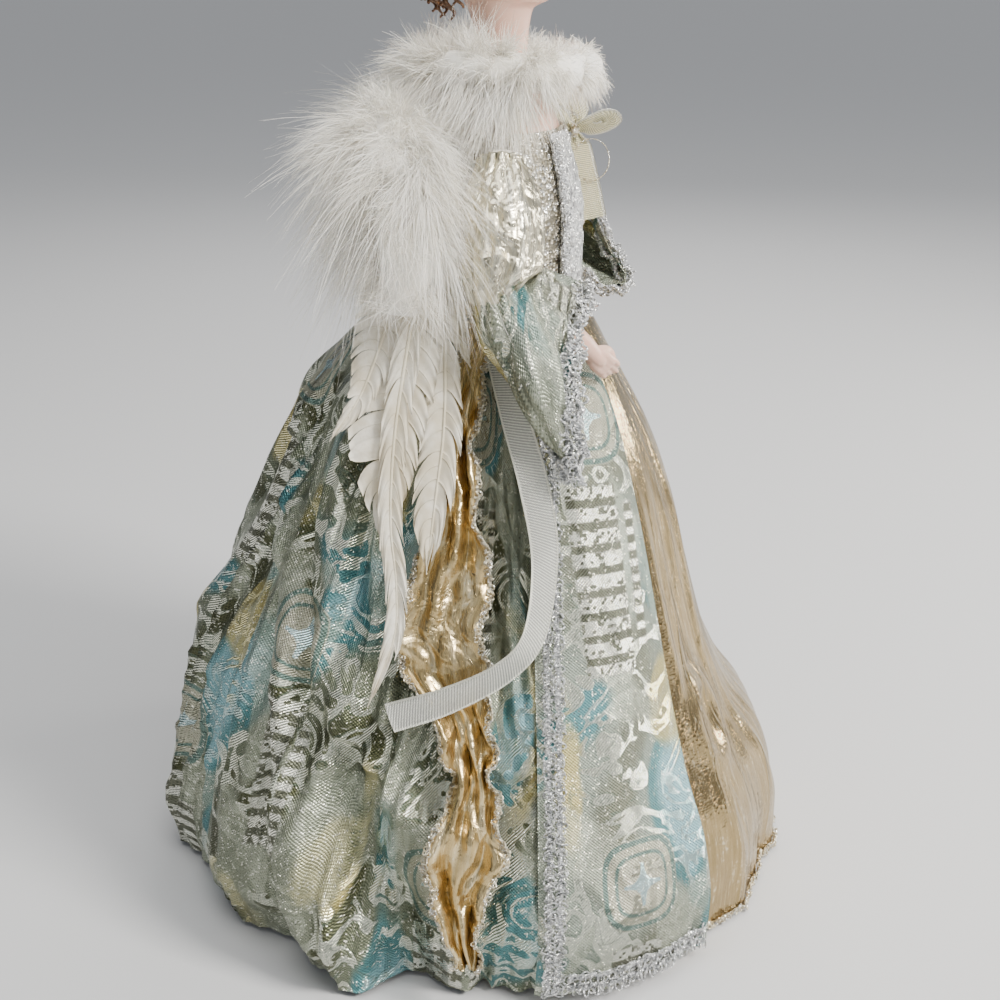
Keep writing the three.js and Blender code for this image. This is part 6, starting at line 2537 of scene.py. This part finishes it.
        near = ease(self.almond[0] + 0.35 - np.abs(a - x), 0, 0.5)
        brush(0.97 * near * np.exp(-((up - lid - 0.2) / 0.5) ** 2), (0.04, 0.02, 0.012))
        brush(0.5 * near * np.exp(-((up + lid + 0.15) / 0.3) ** 2), (0.20, 0.09, 0.06))
        arch = 395.3 + 1.5 * (1 - ((a - 8.4) / 5.6) ** 2)
        thin = 0.88 - 0.06 * np.abs(a - 5.5)
        brush(0.75 * np.exp(-((z - arch) / np.maximum(thin, 0.2)) ** 2)
              * ease(a, 3.0, 4.2) * ease(13.2 - a, 0, 2.4), (0.13, 0.065, 0.03))
        brush(ease(self.hairline(flat), -1.0, 2.5) * (z > 355), (0.10, 0.048, 0.02), False)
        return tint, cover

    def build(self) -> None:
        """Build the skin as one closed form, then paint it."""
        heights = np.concatenate([
            np.linspace(297, 333, 30)[:-1], np.linspace(333, 360.4, 36)[:-1],
            np.linspace(360.4, 400, 132)[:-1],
            400 + 20 * np.sin(np.linspace(0, np.pi / 2, 44))])
        turns = np.concatenate([np.linspace(-64, 64, 149), np.linspace(64, 296, 84)[1:-1]])
        turn, height = np.meshgrid(np.radians(turns), heights)
        front, back, wide = curve(self.rows, height.ravel()).T.reshape(3, *height.shape)
        middle, deep = (front + back) / 2, (back - front) / 2
        points = np.stack([wide * np.sin(turn), middle - deep * np.cos(turn), height], -1)
        facing = ease(np.cos(turn), 0.12, 0.5) * ease(height, 358.5, 362.5)
        lift = self.relief(np.abs(points[..., 0]), height) * facing
        points[..., 1] -= lift
        points[..., 2] -= 0.9 * bell(points[..., 0], height, (0, 375.8), (2.2, 2.0)) * facing
        piece = ring_form("bust_skin", points, self.finishes["painted_porcelain"])
        tint, cover = self.paint(points, (facing > 0.2).ravel().astype(float))
        colours = np.concatenate([tint, np.ones((len(tint), 1))], 1)
        piece.data.attributes.new("tint", "FLOAT_COLOR", "POINT").data.foreach_set(
            "color", colours.astype(np.float32).ravel())
        piece.data.attributes.new("cover", "FLOAT", "POINT").data.foreach_set(
            "value", cover.astype(np.float32))
        self.finishes.settle(piece, "dress", "bust")


@dataclass(frozen=True)
class SkullForm:
    """Oval of the skull under the hair: its middle and half sizes."""

    middle: tuple[float, float, float] = (0.0, -7.2, 391.0)
    half: tuple[float, float, float] = (19.2, 22.4, 29.2)

    @staticmethod
    def way(turn: np.ndarray, away: np.ndarray) -> np.ndarray:
        """Directions from degrees round from the front and degrees down from the crown."""
        around, fall = np.radians(turn), np.radians(away)
        return np.stack([np.sin(fall) * np.sin(around), -np.sin(fall) * np.cos(around),
                         np.cos(fall)], -1)

    def place(self, way: np.ndarray, lift: np.ndarray) -> np.ndarray:
        """Points in a direction from the middle, at distances off the skull."""
        lift = np.asarray(lift, float)[..., None]
        return np.asarray(self.middle) + way * (np.asarray(self.half) + lift)


SKULL = SkullForm()


@dataclass
class Hair:
    """Brown hair, parted in the middle, swept over the ears, with ringlets behind."""

    finishes: Finishes
    locks: int = 62
    curls: int = 38
    front: tuple[tuple[float, float], ...] = ((3, 58), (46, 66), (78, 88), (110, 100), (138, 110))
    crown: tuple[tuple[float, float], ...] = (
        (176, 24), (172, 46), (168, 72), (166, 96), (170, 114))

    def strand(self, heap: Heap, places: list, line: np.ndarray, radius: np.ndarray, sides: int,
               flat: float, up: Sequence[float], number: int) -> None:
        """Add one grooved lock to the heap, with its place on the flat."""
        points, faces = tube(line, radius, sides, flat, up)
        ring = points.reshape(len(line), sides, 3)
        angle = np.linspace(0, 2 * np.pi, sides, endpoint=False)
        groove = 1 + 0.13 * np.cos(angle * 4 + number)
        ring = line[:, None] + (ring - line[:, None]) * groove[:, None]
        heap.put(ring.reshape(-1, 3), faces)
        run = run_of(line)
        across = np.abs(np.linspace(-1, 1, sides, endpoint=False)) * radius.max() + number * 3.7
        places.append(np.stack(np.broadcast_arrays(across[None], run[:, None]), -1).reshape(-1, 2))

    def build(self) -> None:
        """Build the combed locks, then the ringlets."""
        rng = np.random.default_rng(61)
        heap, places = Heap(), []
        noise = Ripple(62)
        front, crown = np.asarray(self.front, float), np.asarray(self.crown, float)
        share = np.linspace(0, 1, 36)
        for side in Side:
            for number in range(self.locks):
                t = (number + 0.5) / self.locks
                layer = number % 3
                way = front * (1 - t) + crown * t
                way[1:] += rng.normal(0, 1.6, way[1:].shape)
                way[0, 0] = 1.5 + 2.0 * layer if t < 0.72 else way[0, 0]
                way[0, 1] = abs(58 - 82 * t)
                if 58 - 82 * t < 0:
                    way[0, 0] = 176
                lift = curve([[0, 0.6], [0.12, 1.6], [0.35, 3.4], [0.65, 4.4], [1, 2.6]], share)
                lift = lift + 1.1 * (layer - 0.6) * ease(share, 0.0, 0.2)
                ways = unit(spline(SKULL.way(way[:, 0] * side.value, way[:, 1]), 36))
                line = SKULL.place(ways, lift)
                wave = noise(share * 5, number * 0.37, side.value * 3.0)
                outward_way = unit(line - SKULL.middle)
                line = line + outward_way * (wave * 0.6 * ease(share, 0.05, 0.3))[:, None]
                radius = 1.75 * (0.55 + 0.45 * ease(share, 0, 0.2)) * (1 - 0.35 * ease(
                    share, 0.75, 1.0)) * rng.uniform(0.85, 1.15)
                self.strand(heap, places, line, radius, 10, 0.62, outward_way[0], number)
        for number in range(self.curls):
            share = np.linspace(0, 1, 64)
            turn = 88 + 184 * (number + 0.5) / self.curls + rng.normal(0, 2)
            row = number % 2
            root = SKULL.place(SKULL.way(turn, 104 - 8 * row), 1.8 + 2.6 * row)
            fall = rng.uniform(17, 25) + (4 if 130 < turn < 230 else 0)
            away = unit((root - SKULL.middle) * [1, 1, 0])
            line = root + away * (2.2 * np.sin(share * 2.2))[:, None] \
                - np.array([0, 0, 1.0]) * (fall * share)[:, None]
            spin = share * rng.uniform(3.2, 4.2) * 2 * np.pi * (1 if turn < 180 else -1) \
                + rng.uniform(0, 6)
            size = 2.3 * ease(share, 0, 0.15) * (1 - 0.35 * share)
            side_way = np.cross(away, [0, 0, 1.0])
            line = line + away * (np.cos(spin) * size)[:, None] \
                + side_way * (np.sin(spin) * size)[:, None]
            radius = 1.35 * (1 - 0.55 * ease(share, 0.6, 1.0)) * (0.5 + 0.5 * ease(share, 0, 0.1))
            self.strand(heap, places, line, radius, 8, 0.7, away, number + 200)
        piece = make_piece("hair_locks", np.concatenate(heap.points), heap.faces,
                           self.finishes["hair"], np.concatenate(places) * MM)
        recalculate(piece)
        self.finishes.settle(piece, "dress", "wig")


@dataclass
class Supports:
    """What holds the figurine up inside: stuffed torso, card cone, board and wing frames."""

    finishes: Finishes
    torso: tuple[tuple[float, float, float], ...] = (
        (227.4, 21.5, 21.5), (228.4, 22.8, 22.8), (233.4, 22.9, 22.9), (235.4, 27.8, 27.8),
        (240, 29.0, 29.0), (254, 29.3, 29.3), (265.15, 31.5, 29.4), (286.2, 35.6, 29.6),
        (293.6, 36.9, 28.3), (296.4, 34.6, 26.0))

    def stuffed(self) -> None:
        """Build the torso, puckered round its seams."""
        turn, height = np.meshgrid(np.radians(np.linspace(0, 360, 72, endpoint=False)),
                                   np.linspace(227.4, 296.4, 60))
        wide, deep = curve(self.torso, height.ravel()).T.reshape(2, *height.shape)
        noise = Ripple(77)
        pucker = 0.35 * noise(np.sin(turn) * 2.5, np.cos(turn) * 2.5, height * 0.07) - 0.35
        seam = -0.6 * np.exp(-(np.cos(turn) / 0.05) ** 2)
        lift = (pucker + seam) * ease(height, 236, 242)
        points = np.stack([(wide + lift) * np.sin(turn), -8 - (deep + lift) * np.cos(turn),
                           height], -1)
        piece = ring_form("torso_stuffing", points, self.finishes["stuffing"])
        self.finishes.settle(piece, "dress", "torso_form")

    def build(self) -> None:
        """Build the torso, and give the carried-over frame parts their finishes."""
        self.stuffed()
        for node, finish in (("base_board", "board"), ("skirt_cone", "card"),
                             ("wing_bracket", "card"), ("right_wing_frame", "card"),
                             ("left_wing_frame", "card")):
            for slot in bpy.data.objects[node].material_slots:
                slot.material = self.finishes[finish]
            log.info("%s: kept, with the finish %s", node, finish)


PARTS = (Supports, Skirts, Tabards, Sashes, Ribbons, Collar, Wings, Bodice, Arms, Hands, Bow,
         Head, Hair)


@dataclass
class Studio:
    """Camera, light and floor."""

    lens: float = 46.44
    place: tuple[float, float, float] = (-0.520, -0.0074, 0.372)
    pitch: float = 22.3
    floor_reach: float = 60.0

    def camera(self) -> None:
        """Make the camera at the photograph's place."""
        data = bpy.data.cameras.new("camera")
        data.lens = self.lens
        data.sensor_width = 36.0
        data.clip_start = 0.01
        camera = bpy.data.objects.new("camera", data)
        down = math.radians(self.pitch)
        look = Vector((math.cos(down), 0.0, -math.sin(down)))
        camera.location = self.place
        camera.rotation_euler = look.to_track_quat("-Z", "Y").to_euler()
        bpy.context.scene.collection.objects.link(camera)
        bpy.context.scene.camera = camera

    def floor(self) -> None:
        """Make the pale floor."""
        mesh = bpy.data.meshes.new("floor")
        far = self.floor_reach
        mesh.from_pydata([(-far, -far, 0), (far, -far, 0), (far, far, 0), (-far, far, 0)], [],
                         [(0, 1, 2, 3)])
        material = bpy.data.materials.new("pale_floor")
        material.use_nodes = True
        shader = material.node_tree.nodes["Principled BSDF"]
        shader.inputs["Base Color"].default_value = (0.66, 0.66, 0.66, 1)
        shader.inputs["Roughness"].default_value = 0.6
        mesh.materials.append(material)
        floor = bpy.data.objects.new("floor", mesh)
        bpy.context.scene.collection.objects.link(floor)

    def lights(self) -> None:
        """Make soft light from the front and above, with a weaker one behind."""
        world = bpy.data.worlds.new("studio")
        world.use_nodes = True
        background = world.node_tree.nodes["Background"]
        w = Wiring(world.node_tree)
        _, ahead, rise = w.split(w.node("TexCoord").outputs["Generated"])
        bright = w.math("ADD", w.step(ahead, 0.9, -0.9, 0.10, 0.52), w.step(rise, 0, 1, 0, 0.22))
        shown = w.node("LightPath").outputs["Is Camera Ray"]
        mixed = w.node("Mix", {"data_type": "FLOAT"})
        for socket, value in zip((mixed.inputs[0], mixed.inputs[2], mixed.inputs[3]),
                                 (shown, bright, 0.62)):
            w.put(socket, value)
        w.put(background.inputs["Color"], (0.62, 0.65, 0.70))
        w.put(background.inputs["Strength"], mixed.outputs[0])
        bpy.context.scene.world = world
        sun = bpy.data.lights.new("window", "SUN")
        sun.energy = 0.8
        sun.angle = math.radians(35)
        window = bpy.data.objects.new("window", sun)
        window.rotation_euler = Vector((0.45, 0.55, -1.0)).to_track_quat("-Z", "Y").to_euler()
        bpy.context.scene.collection.objects.link(window)
        for name, place, size, power, colour in (
                ("key", (-0.62, -1.05, 1.15), 0.42, 36.0, (1.0, 0.97, 0.92)),
                ("top", (-0.25, 0.15, 1.6), 0.9, 10.0, (1.0, 0.99, 0.97)),
                ("fill", (-1.3, 0.9, 0.8), 1.2, 2.5, (0.90, 0.95, 1.0)),
                ("glint", (0.42, -1.0, 0.36), 0.22, 5.0, (1.0, 0.97, 0.90)),
                ("far", (1.2, -0.2, 1.1), 1.0, 8.0, (1.0, 0.97, 0.94))):
            data = bpy.data.lights.new(name, "AREA")
            data.shape = "SQUARE"
            data.size = size
            data.energy = power
            data.color = colour
            light = bpy.data.objects.new(name, data)
            light.location = place
            aim = Vector((0, 0, 0.2)) - Vector(place)
            light.rotation_euler = aim.to_track_quat("-Z", "Y").to_euler()
            bpy.context.scene.collection.objects.link(light)

    def build(self) -> None:
        """Set up camera, floor and lights."""
        self.camera()
        self.floor()
        self.lights()


def keep_sizes() -> None:
    """Bring the view layer up to date."""
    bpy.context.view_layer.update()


def main() -> None:
    """Build the figurine in order."""
    logging.basicConfig(level=logging.INFO, format="%(name)s: %(message)s")
    Studio().build()
    finishes = Finishes()
    for part in PARTS:
        part(finishes).build()
    keep_sizes()


if __name__ == "__main__":
    main()
